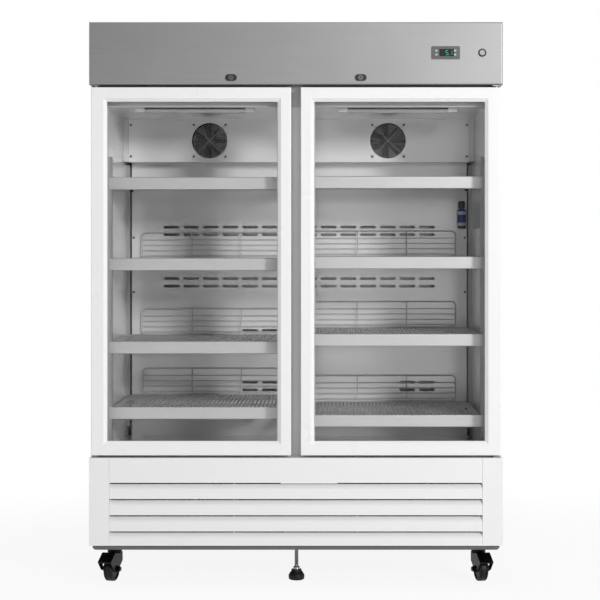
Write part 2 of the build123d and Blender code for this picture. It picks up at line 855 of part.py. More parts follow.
with BuildPart() as base_pan:
    with BuildSketch(Plane.XY.offset(caster_height)):
        with Locations((0, (front + pan_setback + back - sheet) / 2)):
            RectangleRounded(2 * pan_half, back - sheet - front - pan_setback, pan_corner)
    extrude(amount=pan_height)
    chamfer(base_pan.faces().sort_by(Axis.Z)[0].edges(), pan_chamfer)
    offset(amount=-pan_wall, openings=base_pan.faces().sort_by(Axis.Z)[-1])
    # Threaded boss plate of the levelling foot, welded under the pan
    with BuildSketch(Plane.XY.offset(caster_height - foot_boss_height)):
        with Locations((0, foot_y)):
            RectangleRounded(foot_boss_size, foot_boss_size / 2, foot_boss_height)
    extrude(amount=foot_boss_height)
    with BuildSketch(Plane.XY.offset(caster_height - foot_boss_height)):
        with Locations((0, foot_y)):
            Circle(foot_stem_radius + shaft_gap)
    extrude(amount=foot_boss_height + pan_wall, mode=Mode.SUBTRACT)
save(base_pan, "base_pan")

with BuildPart() as levelling_foot:
    foot_plane = Plane(origin=(0, foot_y, 0), x_dir=(1, 0, 0), z_dir=(0, -1, 0))
    cone_top = foot_pad_height + foot_cone_height
    collar_top = cone_top + foot_collar_height
    with BuildSketch(foot_plane):
        with BuildLine():
            Polyline(
                (0, 0),
                (foot_pad_radius - foot_pad_edge, 0),
                (foot_pad_radius, foot_pad_edge),
                (foot_pad_radius, foot_pad_height),
                (foot_cone_radius, cone_top),
                (foot_collar_radius, cone_top),
                (foot_collar_radius, collar_top - foot_stem_radius),
                (foot_stem_radius, collar_top),
                (foot_stem_radius, pan_floor + foot_thread_length),
                (0, pan_floor + foot_thread_length),
                close=True,
            )
        make_face()
    revolve(axis=Axis(foot_plane.origin, (0, 0, 1)))
save(levelling_foot, "levelling_foot")

with BuildPart() as base_posts:
    for side in (-1, 1):
        post_xs = span(side * (half_width - post_width), side * half_width)
        block(post_xs, (front, front + sheet), (panel_bottom, base_top))
        block(post_xs, (front + sheet, frame_front), (base_top - sheet, base_top))
        for edge_x in (side * half_width, side * (half_width - post_width + sheet)):
            block(
                span(edge_x, edge_x - side * sheet),
                (front + sheet, frame_front),
                (panel_bottom, base_top - sheet),
            )
save(base_posts, "base_posts")

with BuildPart() as louvre_grille:
    grille_half = half_width - post_width - grille_gap
    with BuildSketch(Plane.YZ.offset(-grille_half)):
        # Top band with its ledge under the doors
        with BuildLine():
            Polyline(
                (front, louvre_top),
                (front, base_top),
                (frame_front, base_top),
                (frame_front, base_top - sheet),
                (front + sheet, base_top - sheet),
                (front + sheet, louvre_top),
                close=True,
            )
        make_face()
        # Each louvre slopes out from behind the slot above it, then hangs straight down
        for louvre in range(louvre_count):
            top = louvre_top - louvre * louvre_pitch
            last = louvre == louvre_count - 1
            bottom = panel_bottom if last else top - louvre_pitch
            with BuildLine():
                Polyline(
                    (front + louvre_recess, top - louvre_gap),
                    (front, top - louvre_gap - louvre_slope),
                    (front, bottom),
                    (front + sheet, bottom),
                    (front + sheet, top - louvre_gap - louvre_slope),
                    (front + louvre_recess + sheet, top - louvre_gap),
                    close=True,
                )
            make_face()
    extrude(amount=2 * grille_half)
    # End and middle ribs carry the louvres
    for rib_x in (-grille_half, -grille_half / 3, grille_half / 3 - sheet, grille_half - sheet):
        block(
            (rib_x, rib_x + sheet),
            (front + louvre_recess, front + louvre_recess + grille_return),
            (panel_bottom, base_top - sheet),
        )
        for louvre in range(louvre_count):
            top = louvre_top - louvre * louvre_pitch
            bottom = panel_bottom if louvre == louvre_count - 1 else top - louvre_pitch
            block(
                (rib_x, rib_x + sheet),
                (front + sheet / 2, front + louvre_recess),
                (bottom, top - louvre_gap - louvre_slope),
            )
        block(
            (rib_x, rib_x + sheet),
            (front + sheet / 2, front + louvre_recess),
            (louvre_top, base_top - sheet),
        )
save(louvre_grille, "louvre_grille")

compressor_x = 330.0
compressor_y = 130.0
compressor_radius = 92.0
compressor_height = 178.0
compressor_dome = 46.0
compressor_foot = 220.0
compressor_foot_depth = 154.0
compressor_foot_height = 12.0
compressor_stub = 40.0

with BuildPart() as compressor:
    with BuildSketch(Plane.XY.offset(pan_floor)):
        with Locations((compressor_x, compressor_y)):
            Circle(compressor_radius)
    extrude(amount=compressor_height)
    fillet(compressor.faces().sort_by(Axis.Z)[-1].edges(), compressor_dome)
    with BuildSketch(Plane.XY.offset(pan_floor)):
        with Locations((compressor_x, compressor_y)):
            RectangleRounded(compressor_foot, compressor_foot_depth, compressor_stub / 2)
    extrude(amount=compressor_foot_height)
    with BuildSketch(Plane.YZ.offset(compressor_x - compressor_radius - compressor_stub)):
        with Locations((compressor_y, pan_floor + compressor_height / 2)):
            Circle(coil_tube_radius)
    extrude(amount=compressor_stub * 2)
save(compressor, "compressor")

condenser_x = -260.0
condenser_length = 420.0
condenser_depth = 54.0
condenser_height = 205.0
condenser_setback = 70.0
condenser_y = front + condenser_setback
condenser_fin_count = 13
condenser_fan_radius = 84.0
condenser_blade_count = 5
condenser_motor_radius = 34.0
condenser_motor_depth = 44.0
condenser_motor_gap = 16.0
condenser_shroud_depth = 30.0
shroud_back = condenser_y + condenser_depth + condenser_shroud_depth
condenser_level = pan_floor + condenser_height / 2
motor_front = shroud_back + condenser_motor_gap

with BuildPart() as condenser:
    fin_step = (condenser_length - coil_fin) / (condenser_fin_count - 1)
    for fin in range(condenser_fin_count):
        fin_x = condenser_x - condenser_length / 2 + fin * fin_step
        block(
            (fin_x, fin_x + coil_fin),
            (condenser_y, condenser_y + condenser_depth),
            (pan_floor, pan_floor + condenser_height),
        )
    with BuildSketch(Plane.YZ.offset(condenser_x - condenser_length / 2 - 2 * coil_tube_radius)):
        with Locations((condenser_y + condenser_depth / 2, condenser_level)):
            with GridLocations(condenser_depth / 2, condenser_height / 5, 2, 4):
                RegularPolygon(coil_tube_radius, coil_tube_sides)
    extrude(amount=condenser_length + 4 * coil_tube_radius)
    # Fan shroud with its motor on a cross bracket
    with BuildSketch(facing_front(condenser_y + condenser_depth)):
        with Locations((condenser_x, condenser_level)):
            Rectangle(condenser_length, condenser_height)
            Circle(condenser_fan_radius + rotor_clearance, mode=Mode.SUBTRACT)
    extrude(amount=-condenser_shroud_depth)
    with BuildSketch(facing_front(motor_front)):
        with Locations((condenser_x, condenser_level)):
            Circle(condenser_motor_radius)
    extrude(amount=-condenser_motor_depth)
    with BuildSketch(facing_front(motor_front)):
        with Locations((condenser_x, condenser_level)):
            Circle(fan_shaft_radius)
    extrude(amount=condenser_shroud_depth)
    with BuildSketch(facing_front(motor_front + condenser_motor_depth / 2)):
        with Locations((condenser_x, condenser_level)):
            Rectangle(condenser_length / 2, 4 * sheet)
    extrude(amount=-2 * sheet)
    for side in (-1, 1):
        arm_x = condenser_x + side * condenser_length / 4
        block(
            span(arm_x, arm_x - side * 4 * sheet),
            (shroud_back, motor_front + condenser_motor_depth / 2 + 2 * sheet),
            (condenser_level - 2 * sheet, condenser_level + 2 * sheet),
        )
save(condenser, "condenser")

with BuildPart() as condenser_fan_rotor:
    hub_depth = condenser_shroud_depth - rotor_clearance
    hub_back = motor_front - seat_gap
    with BuildSketch(facing_front(hub_back)):
        with Locations((condenser_x, condenser_level)):
            Circle(fan_hub_radius)
    extrude(amount=hub_depth)
    hub_middle = hub_back - hub_depth / 2
    for spoke in blade_planes(condenser_x, hub_middle, condenser_level, condenser_blade_count):
        with BuildSketch(spoke):
            Rectangle(fan_blade_chord, fan_blade_thickness, rotation=fan_blade_angle)
        extrude(amount=condenser_fan_radius)
    with BuildSketch(facing_front(hub_back)):
        with Locations((condenser_x, condenser_level)):
            Circle(fan_shaft_radius + shaft_gap)
    extrude(amount=hub_depth, mode=Mode.SUBTRACT)
save(condenser_fan_rotor, "condenser_fan_rotor")

with BuildPart() as power_inlet:
    with BuildSketch(facing_front(back - sheet)):
        with Locations((inlet_x, inlet_level)):
            RectangleRounded(
                inlet_width + 2 * inlet_flange, inlet_height + 2 * inlet_flange, inlet_flange / 2
            )
    extrude(amount=sheet)
    with BuildSketch(facing_front(back - sheet)):
        with Locations((inlet_x, inlet_level)):
            Rectangle(inlet_width, inlet_height)
    extrude(amount=-sheet)
    with BuildSketch(facing_front(back - 2 * sheet)):
        with Locations((inlet_x, inlet_level)):
            Rectangle(inlet_width, inlet_height)
    extrude(amount=inlet_height)
    with BuildSketch(facing_front(back)):
        with Locations((inlet_x, inlet_level)):
            Rectangle(inlet_width / 2, inlet_height / 2)
    extrude(amount=inlet_height / 2, mode=Mode.SUBTRACT)
save(power_inlet, "power_inlet")

# Casters: a fixed plate with its king pin, a forked swivel, a wheel and, at the front, a brake pedal
caster_x = 560.0
caster_setback = 105.0
caster_plate_size = 62.0
caster_plate = 3.5
king_pin_radius = 6.0
king_pin_length = 13.0
swivel_radius = 22.0
wheel_radius = 37.5
wheel_width = 28.0
wheel_shoulder = 5.0
wheel_web_radius = 29.0
wheel_web_recess = 3.0
wheel_hub_radius = 11.0
wheel_hub_width = 29.4
wheel_trail = 26.0
axle_radius = 4.0
axle_nut_radius = 10.0
axle_nut = 8.0
axle_dome_radius = 6.5
axle_dome = 4.0
fork_gap = 1.2
fork_plate = 2.5
fork_crown_bottom = 80.0
fork_crown = 4.0
fork_foot_radius = 10.0
fork_heel_level = 56.0
pedal_pivot_reach = 22.0
pedal_pivot_level = 78.0
pedal_pivot_radius = 2.5
pedal_ear_radius = 6.0
pedal_barrel_radius = 4.8
pedal_heel = 5.0
pedal_crest = 11.0
pedal_tip_reach = 36.0
pedal_tip_drop = 16.0
pedal_toe_reach = 12.0
pedal_toe_drop = 40.0
pedal_width = 43.0
pedal_thickness = 4.0
pedal_cheek = 2.5
pedal_travel = 18.0
fork_top = caster_height - caster_plate - seat_gap
fork_inner = wheel_width / 2 + fork_gap
fork_outer = fork_inner + fork_plate

# Each caster's place, how far its wheel trails round from straight back, in degrees, and its brake
front_left_turn = 166.0
front_right_turn = 192.0
casters = {
    "front_left": (-caster_x, front + caster_setback, front_left_turn, True),
    "front_right": (caster_x, front + caster_setback, front_right_turn, True),
    "rear_left": (-caster_x, back - caster_setback, 0.0, False),
    "rear_right": (caster_x, back - caster_setback, 0.0, False),
}

with BuildPart() as caster_plates:
    for place_x, place_y, turn, braked in casters.values():
        with BuildSketch(Plane.XY.offset(caster_height - caster_plate)):
            with Locations((place_x, place_y)):
                RectangleRounded(caster_plate_size, caster_plate_size, king_pin_radius)
        extrude(amount=caster_plate)
        with BuildSketch(Plane.XY.offset(caster_height - caster_plate)):
            with Locations((place_x, place_y)):
                Circle(king_pin_radius)
        extrude(amount=-king_pin_length)
save(caster_plates, "caster_plates")

for caster_name, (place_x, place_y, turn, braked) in casters.items():
    # The caster's own side plane: X along the trail, Y up, seen along the axle
    trail = (-sin(radians(turn)), cos(radians(turn)), 0)
    along_axle = (trail[1], -trail[0], 0)
    side_plane = Plane(origin=(place_x, place_y, 0), x_dir=trail, z_dir=along_axle)

    with BuildPart() as caster_fork:
        for start in (fork_inner, -fork_outer):
            with BuildSketch(side_plane.offset(start)):
                with Locations((0, fork_crown_bottom + fork_crown / 2)):
                    Rectangle(2 * swivel_radius, fork_crown)
                with Locations((wheel_trail, wheel_radius)):
                    Circle(fork_foot_radius)
                with Locations((-swivel_radius + fork_crown / 2, fork_heel_level + fork_crown / 2)):
                    Rectangle(fork_crown, fork_crown)
                if braked:
                    with Locations((wheel_trail + pedal_pivot_reach, pedal_pivot_level)):
                        Circle(pedal_ear_radius)
                make_hull()
            extrude(amount=fork_plate)
        with BuildSketch(side_plane.offset(-fork_outer)):
            with Locations((0, fork_crown_bottom + fork_crown / 2)):
                Rectangle(2 * swivel_radius, fork_crown)
        extrude(amount=2 * fork_outer)
        with BuildSketch(Plane.XY.offset(fork_crown_bottom + fork_crown / 2)):
            with Locations((place_x, place_y)):
                Circle(swivel_radius)
        extrude(amount=fork_top - fork_crown_bottom - fork_crown / 2)
        with BuildSketch(Plane.XY.offset(fork_top)):
            with Locations((place_x, place_y)):
                Circle(king_pin_radius + shaft_gap)
        extrude(amount=-king_pin_length, mode=Mode.SUBTRACT)
        # The axle bolt with a domed nut at each end, tight in the fork
        with BuildSketch(side_plane.offset(-fork_outer)):
            with Locations((wheel_trail, wheel_radius)):
                Circle(axle_radius)
        extrude(amount=2 * fork_outer)
        for start in (fork_outer, -fork_outer - axle_nut):
            with BuildSketch(side_plane.offset(start)):
                with Locations((wheel_trail, wheel_radius)):
                    RegularPolygon(axle_nut_radius, 6)
            extrude(amount=axle_nut)
        with BuildSketch(side_plane.offset(-fork_outer - axle_nut - axle_dome)):
            with Locations((wheel_trail, wheel_radius)):
                Circle(axle_dome_radius)
        extrude(amount=axle_dome)
        with BuildSketch(side_plane.offset(fork_outer + axle_nut)):
            with Locations((wheel_trail, wheel_radius)):
                Circle(axle_dome_radius)
        extrude(amount=axle_dome)
        if braked:
            with BuildSketch(side_plane.offset(-fork_outer)):
                with Locations((wheel_trail + pedal_pivot_reach, pedal_pivot_level)):
                    Circle(pedal_pivot_radius)
            extrude(amount=2 * fork_outer)
    save(caster_fork, f"{caster_name}_caster_fork")

    with BuildPart() as caster_wheel:
        with BuildSketch(side_plane.offset(-wheel_width / 2)):
            with Locations((wheel_trail, wheel_radius)):
                Circle(wheel_radius)
        extrude(amount=wheel_width)
        chamfer(caster_wheel.edges(), wheel_shoulder)
        # A dished web inside the tyre on both faces
        for start in (-wheel_width / 2, wheel_width / 2 - wheel_web_recess):
            with BuildSketch(side_plane.offset(start)):
                with Locations((wheel_trail, wheel_radius)):
                    Circle(wheel_web_radius)
            extrude(amount=wheel_web_recess, mode=Mode.SUBTRACT)
        with BuildSketch(side_plane.offset(-wheel_hub_width / 2)):
            with Locations((wheel_trail, wheel_radius)):
                Circle(wheel_hub_radius)
        extrude(amount=wheel_hub_width)
        with BuildSketch(side_plane.offset(-wheel_hub_width / 2)):
            with Locations((wheel_trail, wheel_radius)):
                Circle(axle_radius + shaft_gap)
        extrude(amount=wheel_hub_width, mode=Mode.SUBTRACT)
    save(caster_wheel, f"{caster_name}_caster_wheel")

    if braked:
        pivot = (wheel_trail + pedal_pivot_reach, pedal_pivot_level)
        heel = (pivot[0] - pedal_heel, pivot[1] + pedal_crest)
        crest = (pivot[0] + pedal_heel / 2, pivot[1] + pedal_crest)
        tip = (pivot[0] + pedal_tip_reach, pivot[1] - pedal_tip_drop)
        nose = (tip[0] + pedal_thickness, tip[1] + pedal_thickness)
        toe = (pivot[0] + pedal_toe_reach, pivot[1] - pedal_toe_drop)
        with BuildPart() as brake_pedal:
            # The hood that the user's foot presses
            with BuildSketch(side_plane.offset(-pedal_width / 2)):
                with BuildLine():
                    Polyline(
                        heel,
                        crest,
                        nose,
                        tip,
                        (crest[0] - pedal_thickness / 4, crest[1] - pedal_thickness),
                        (heel[0], heel[1] - pedal_thickness),
                        close=True,
                    )
                make_face()
            extrude(amount=pedal_width)
            # Its two cheeks, which hang outside the fork
            for start in (-pedal_width / 2, pedal_width / 2 - pedal_cheek):
                with BuildSketch(side_plane.offset(start)):
                    with BuildLine():
                        Polyline(
                            heel,
                            crest,
                            nose,
                            tip,
                            toe,
                            (toe[0] - pedal_heel, toe[1]),
                            (heel[0], pivot[1] - pedal_heel),
                            close=True,
                        )
                    make_face()
                extrude(amount=pedal_cheek)
            # The barrel on its pin, and the web that joins it to the hood
            with BuildSketch(side_plane.offset(-fork_inner + seat_gap)):
                with Locations(pivot):
                    Circle(pedal_barrel_radius)
                with BuildLine():
                    Polyline(
                        (pivot[0], pivot[1] - pedal_barrel_radius + seat_gap),
                        (pivot[0], crest[1] - pedal_thickness / 2),
                        (pivot[0] + pedal_toe_reach, pivot[1] + pedal_thickness / 2),
                        (pivot[0] + pedal_toe_reach - pedal_thickness / 2, pivot[1] - pedal_heel),
                        close=True,
                    )
                make_face()
            extrude(amount=2 * (fork_inner - seat_gap))
            with BuildSketch(side_plane.offset(-fork_inner)):
                with Locations(pivot):
                    Circle(pedal_pivot_radius + shaft_gap)
            extrude(amount=2 * fork_inner, mode=Mode.SUBTRACT)
        save(brake_pedal, f"{caster_name}_brake_pedal")

# Pan-head screws of the fan housing and the duct panel
with BuildPart() as panel_screws:
    head_x = panel_half - screw_inset
    with BuildSketch(facing_front(fan_front)):
        with Locations((0, (fan_box_bottom + ceiling_level) / 2)):
            with GridLocations(2 * head_x, screw_rise, 2, 2):
                Circle(screw_head_radius)
    extrude(amount=screw_head_height)
    with BuildSketch(facing_front(duct_front)):
        for screw_level in duct_screw_levels:
            with Locations((-head_x, screw_level), (head_x, screw_level)):
                Circle(screw_head_radius)
    extrude(amount=screw_head_height)
save(panel_screws, "panel_screws")
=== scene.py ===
import math

import bmesh
import bpy
import numpy as np
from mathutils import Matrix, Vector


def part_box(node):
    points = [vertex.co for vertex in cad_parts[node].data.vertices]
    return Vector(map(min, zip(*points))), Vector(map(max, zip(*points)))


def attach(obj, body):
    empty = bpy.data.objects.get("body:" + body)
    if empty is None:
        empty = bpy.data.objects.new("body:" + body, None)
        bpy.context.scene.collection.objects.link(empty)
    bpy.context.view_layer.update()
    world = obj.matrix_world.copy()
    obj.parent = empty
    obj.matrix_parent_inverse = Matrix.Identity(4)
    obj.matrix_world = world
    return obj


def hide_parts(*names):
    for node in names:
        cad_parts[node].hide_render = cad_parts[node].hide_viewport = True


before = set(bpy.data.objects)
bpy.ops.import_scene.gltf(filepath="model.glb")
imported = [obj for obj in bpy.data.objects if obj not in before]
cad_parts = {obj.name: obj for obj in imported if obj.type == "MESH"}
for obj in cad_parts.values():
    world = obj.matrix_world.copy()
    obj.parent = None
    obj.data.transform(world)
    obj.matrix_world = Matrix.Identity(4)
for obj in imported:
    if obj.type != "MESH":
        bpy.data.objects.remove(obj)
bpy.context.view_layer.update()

scene = bpy.context.scene

# Sizes in metres. X runs to the right as seen from the front, Y to the back, Z up.
duct_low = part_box("duct_panel")[0]
cover_low, cover_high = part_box("fan_cover")
liner_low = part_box("inner_liner")[0]
liner_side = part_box("shelf_standards")[0][0]
liner_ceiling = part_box("light_bars")[1][2]
SIDES = {"left": -1, "right": 1}
SHELF_LEVELS = {"left": (1.236, 0.988, 0.733, 0.532), "right": (1.239, 0.993, 0.756, 0.508)}
FAN_X = 0.2955
FAN_LEVEL = 1.379
WHEEL_RADIUS = 0.0375
CASTER_TURNS = {"front_left": 166.0, "front_right": 192.0, "rear_left": 0.0, "rear_right": 0.0}


# Shapes: every helper returns (points, quads, caps), where quads and caps number the points of each face,
# and make_piece joins them into one mesh

def grid(points, wrap_rows=False, wrap_columns=False):
    """Quads over a net of points[row, column], closed round where asked."""
    rows, columns = points.shape[:2]
    row = np.arange(rows if wrap_rows else rows - 1)
    column = np.arange(columns if wrap_columns else columns - 1)
    r, c = np.meshgrid(row, column, indexing="ij")
    r_next, c_next = (r + 1) % rows, (c + 1) % columns
    corners = [r * columns + c, r_next * columns + c, r_next * columns + c_next, r * columns + c_next]
    quads = np.stack([corner.ravel() for corner in corners], axis=1)
    return points.reshape(-1, 3), quads, []


def join(shapes):
    """Several shapes as one: each shape's point numbers go up by the count of points before it."""
    counts = np.cumsum([0] + [len(points) for points, quads, caps in shapes])
    all_points = np.concatenate([points for points, quads, caps in shapes])
    all_quads = np.concatenate([quads + count for (points, quads, caps), count in zip(shapes, counts)])
    all_caps = [cap + count for (points, quads, caps), count in zip(shapes, counts) for cap in caps]
    return all_points, all_quads, all_caps


def tube(path, radius, facing, sides=8, closed=False):
    """A circle carried along a flat path: point + radius * (cos a * facing + sin a * across), where
    across is square to the path and to facing, the path's own flat side."""
    path = np.asarray(path, float)
    if closed:
        along = np.roll(path, -1, axis=0) - np.roll(path, 1, axis=0)
    else:
        along = np.gradient(path, axis=0)
    along /= np.linalg.norm(along, axis=1)[:, None]
    facing = np.broadcast_to(np.asarray(facing, float), path.shape)
    across = np.cross(along, facing)
    angle = np.arange(sides) * 2 * math.pi / sides
    ring = (
        np.cos(angle)[None, :, None] * facing[:, None, :]
        + np.sin(angle)[None, :, None] * across[:, None, :]
    )
    points, quads, caps = grid(path[:, None, :] + radius * ring, wrap_rows=closed, wrap_columns=True)
    if not closed:
        caps = [np.arange(sides), np.arange(len(points) - sides, len(points))[::-1]]
    return points, quads, caps


def arc(radius, first, last, steps):
    """Points on a circle round the origin, from one angle to another in degrees, as (n, 2)."""
    angle = np.radians(np.linspace(first, last, steps + 1))
    return radius * np.stack([np.cos(angle), np.sin(angle)], axis=1)


def rounded_outline(width, height, radius, steps=4):
    """A rectangle round the origin with its corners as quarter circles, counter-clockwise, as (n, 2)."""
    corners = []
    for quarter, (side_x, side_z) in enumerate(((1, 1), (-1, 1), (-1, -1), (1, -1))):
        middle = np.array([side_x * (width / 2 - radius), side_z * (height / 2 - radius)])
        corners.append(middle + arc(radius, 90 * quarter, 90 * quarter + 90, steps))
    return np.concatenate(corners)


def facing_front(outline, y, middle=(0.0, 0.0)):
    """Puts flat (x, z) points upright at depth y."""
    outline = np.asarray(outline, float)
    depth = np.full(len(outline), y)
    return np.stack([outline[:, 0] + middle[0], depth, outline[:, 1] + middle[1]], axis=1)


def plate(outline, y_front, y_back, middle=(0.0, 0.0)):
    """A flat upright plate between two depths, with the given outline in X and Z."""
    front = facing_front(outline, y_front, middle)
    back = facing_front(outline, y_back, middle)
    points, quads, caps = grid(np.stack([front, back]), wrap_columns=True)
    count = len(front)
    return points, quads, [np.arange(count), np.arange(count, 2 * count)[::-1]]


def revolve(profile, origin, axis, start, steps=32):
    """Turns (radius, height) points round an axis: origin + height * axis + radius * (cos a * start
    + sin a * side). A radius of nothing at either end closes the shape."""
    profile = np.asarray(profile, float)
    axis, start = np.asarray(axis, float), np.asarray(start, float)
    side = np.cross(axis, start)
    angle = np.arange(steps) * 2 * math.pi / steps
    spoke = np.cos(angle)[:, None] * start + np.sin(angle)[:, None] * side
    points = (
        np.asarray(origin, float)
        + profile[:, 1][:, None, None] * axis
        + profile[:, 0][:, None, None] * spoke[None, :, :]
    )
    return grid(points, wrap_columns=True)


def ring_of(profile, half_width, half_height, middle):
    """A profile of (outward, depth) points carried round an upright rectangle with mitred corners."""
    profile = np.asarray(profile, float)
    corners = []
    for side_x, side_z in ((1, 1), (-1, 1), (-1, -1), (1, -1)):
        x = middle[0] + side_x * (half_width + profile[:, 0])
        z = middle[1] + side_z * (half_height + profile[:, 0])
        corners.append(np.stack([x, profile[:, 1], z], axis=1))
    return grid(np.stack(corners), wrap_rows=True, wrap_columns=True)


def fill_mesh(mesh, points, quads, caps):
    """Puts whole arrays of places and point numbers into a mesh; a face starts where the last one ends."""
    corners = np.concatenate([quads.ravel(), *caps])
    sizes = np.concatenate([np.full(len(quads), 4), [len(cap) for cap in caps]]).astype(int)
    mesh.vertices.add(len(points))
    mesh.vertices.foreach_set("co", points.ravel())
    mesh.loops.add(len(corners))
    mesh.loops.foreach_set("vertex_index", corners)
    mesh.polygons.add(len(sizes))
    mesh.polygons.foreach_set("loop_start", np.cumsum(sizes) - sizes)
    mesh.update(calc_edges=True)


def make_piece(name, shapes, material, body, replaces=(), smooth=40.0, closed=True, wall=0.0):
    """Joins shapes into one mesh at the origin, merges what meets, gives it its finish and lets it ride on a
    body. A wall turns an open sheet into one of that thickness, behind its outer face."""
    mesh = bpy.data.meshes.new(name)
    fill_mesh(mesh, *join(shapes))
    working = bmesh.new()
    working.from_mesh(mesh)
    bmesh.ops.remove_doubles(working, verts=working.verts, dist=1e-6)
    if closed:
        bmesh.ops.recalc_face_normals(working, faces=working.faces)
    working.to_mesh(mesh)
    working.free()
    piece = bpy.data.objects.new(name, mesh)
    scene.collection.objects.link(piece)
    mesh.materials.append(material)
    if smooth:
        mesh.shade_smooth()
        mesh.set_sharp_from_angle(angle=math.radians(smooth))
    if wall:
        thickness = piece.modifiers.new("wall", "SOLIDIFY")
        thickness.thickness = wall
        thickness.offset = -1
    if smooth:
        flat_faces = piece.modifiers.new("flat_faces", "WEIGHTED_NORMAL")
        flat_faces.keep_sharp = True
    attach(piece, body)
    if replaces:
        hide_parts(*replaces)
    return piece


# Shader maths

class Value:
    """A shader socket that takes part in Python sums; each operation adds one Math node."""

    def __init__(self, finish, socket):
        self.finish = finish
        self.socket = socket

    def combine(self, operation, first, second):
        """One Math node over two values."""
        return self.finish.add("ShaderNodeMath", {"operation": operation}, {0: first, 1: second})

    def __add__(self, other):
        return self.combine("ADD", self, other)

    def __radd__(self, other):
        return self.combine("ADD", other, self)

    def __mul__(self, other):
        return self.combine("MULTIPLY", self, other)

    def __rmul__(self, other):
        return self.combine("MULTIPLY", other, self)

    def __pow__(self, other):
        return self.combine("POWER", self, other)

    def larger(self, other):
        return self.combine("MAXIMUM", self, other)


class Finish:
    """One material and the nodes that make it."""

    def __init__(self, name):
        self.material = bpy.data.materials.new(name)
        self.material.use_nodes = True
        self.tree = self.material.node_tree
        self.tree.nodes.clear()
        self.place = self.add("ShaderNodeTexCoord", output="Object")

    def add(self, kind, settings=None, inputs=None, output=0):
        """Adds a node of one kind: first its settings, then the values or links of its sockets."""
        node = self.tree.nodes.new(kind)
        for key, value in (settings or {}).items():
            setattr(node, key, value)
        for key, value in (inputs or {}).items():
            if isinstance(value, Value):
                self.tree.links.new(value.socket, node.inputs[key])
            else:
                node.inputs[key].default_value = value
        return Value(self, node.outputs[output])

    def axis(self, name):
        """One coordinate of the object, in metres: X, Y or Z."""
        return self.add("ShaderNodeSeparateXYZ", inputs={0: self.place}, output=name)

    def noise(self, scale, detail=2.0, stretch=(1.0, 1.0, 1.0)):
        """Soft noise with about scale features to the metre, drawn out along an axis by a small stretch."""
        placed = self.add("ShaderNodeMapping", inputs={"Vector": self.place, "Scale": stretch})
        return self.add(
            "ShaderNodeTexNoise", inputs={"Vector": placed, "Scale": scale, "Detail": detail}, output="Fac"
        )

    def step(self, value, low, high):
        """0 below low and 1 above high, with a smooth rise between them."""
        return self.add(
            "ShaderNodeMapRange",
            {"interpolation_type": "SMOOTHSTEP"},
            {"Value": value, "From Min": low, "From Max": high},
        )

    def blend(self, share, first, second):
        """One colour turning into another."""
        return self.add(
            "ShaderNodeMix", {"data_type": "RGBA"}, {0: share, 6: first, 7: second}, output=2
        )

    def bump(self, height, strength, distance):
        """A normal tilted by the slope of a height."""
        return self.add(
            "ShaderNodeBump", inputs={"Height": height, "Strength": strength, "Distance": distance}
        )

    def show(self, shader):
        """Makes a shader the material's surface, and gives back the material."""
        output = self.tree.nodes.new("ShaderNodeOutputMaterial")
        self.tree.links.new(shader.socket, output.inputs["Surface"])
        return self.material

    def surface(self, **sockets):
        """A Principled surface; socket names are written with underscores."""
        named = {key.replace("_", " "): value for key, value in sockets.items()}
        return self.add("ShaderNodeBsdfPrincipled", inputs=named)


def grey(level, red=1.0, green=1.0, blue=1.0):
    """A display grey from 0 to 255 as a linear colour, tinted by a factor on each channel."""
    share = level / 255
    linear = share / 12.92 if share <= 0.04045 else ((share + 0.055) / 1.055) ** 2.4
    return (linear * red, linear * green, linear * blue, 1.0)


# Finishes

def enamel(name, level, roughness, coat=0.0, metallic=0.0):
    """Powder coat: fine orange peel, slow changes of gloss and a breath of grime in the tone."""
    finish = Finish(name)
    peel = finish.noise(700.0, 1.0)
    cloud = finish.noise(3.0, 3.0)
    colour = finish.blend(cloud, grey(level - 2), grey(level + 1))
    return finish.show(finish.surface(
        Base_Color=colour,
        Metallic=metallic,
        Roughness=roughness - 0.02 + 0.04 * finish.noise(9.0, 3.0),
        Coat_Weight=coat,
        Coat_Roughness=0.12,
        Normal=finish.bump(peel, 0.12, 0.0004),
    ))


def brushed_sheet(name, level, roughness, along, metallic=1.0):
    """Brushed metal: hair-fine lines that run along one axis change its tone, gloss and relief."""
    finish = Finish(name)
    stretch = {"X": (0.006, 1.0, 1.0), "Y": (1.0, 0.006, 1.0), "Z": (1.0, 1.0, 0.006)}[along]
    hair = finish.noise(1500.0, 2.0, stretch)
    cloud = finish.noise(4.0, 2.0)
    tone = 0.6 * hair + 0.4 * cloud
    return finish.show(finish.surface(
        Base_Color=finish.blend(tone, grey(level - 12), grey(level + 12)),
        Metallic=metallic,
        Roughness=roughness - 0.05 + 0.1 * hair,
        Normal=finish.bump(hair, 0.08, 0.0002),
    ))


def smooth_metal(name, level, roughness, tint=(1.0, 1.0, 1.0), metallic=1.0):
    """Plated or rolled metal with faint smears."""
    finish = Finish(name)
    smear = finish.noise(60.0, 4.0)
    return finish.show(finish.surface(
        Base_Color=finish.blend(smear, grey(level - 10, *tint), grey(level + 6, *tint)),
        Metallic=metallic,
        Roughness=roughness - 0.03 + 0.08 * smear,
        Normal=finish.bump(finish.noise(900.0), 0.04, 0.0002),
    ))


def moulded(name, level, roughness, grain=1800.0, relief=0.15, tint=(1.0, 1.0, 1.0), specular=0.5):
    """Moulded plastic or rubber with a fine grain and slow changes of gloss."""
    finish = Finish(name)
    cell = finish.noise(grain, 1.0)
    cloud = finish.noise(25.0, 3.0)
    return finish.show(finish.surface(
        Base_Color=finish.blend(cloud, grey(level * 0.85, *tint), grey(level * 1.12, *tint)),
        Roughness=roughness - 0.05 + 0.1 * cloud,
        Specular_IOR_Level=specular,
        Normal=finish.bump(cell, relief, 0.0003),
    ))


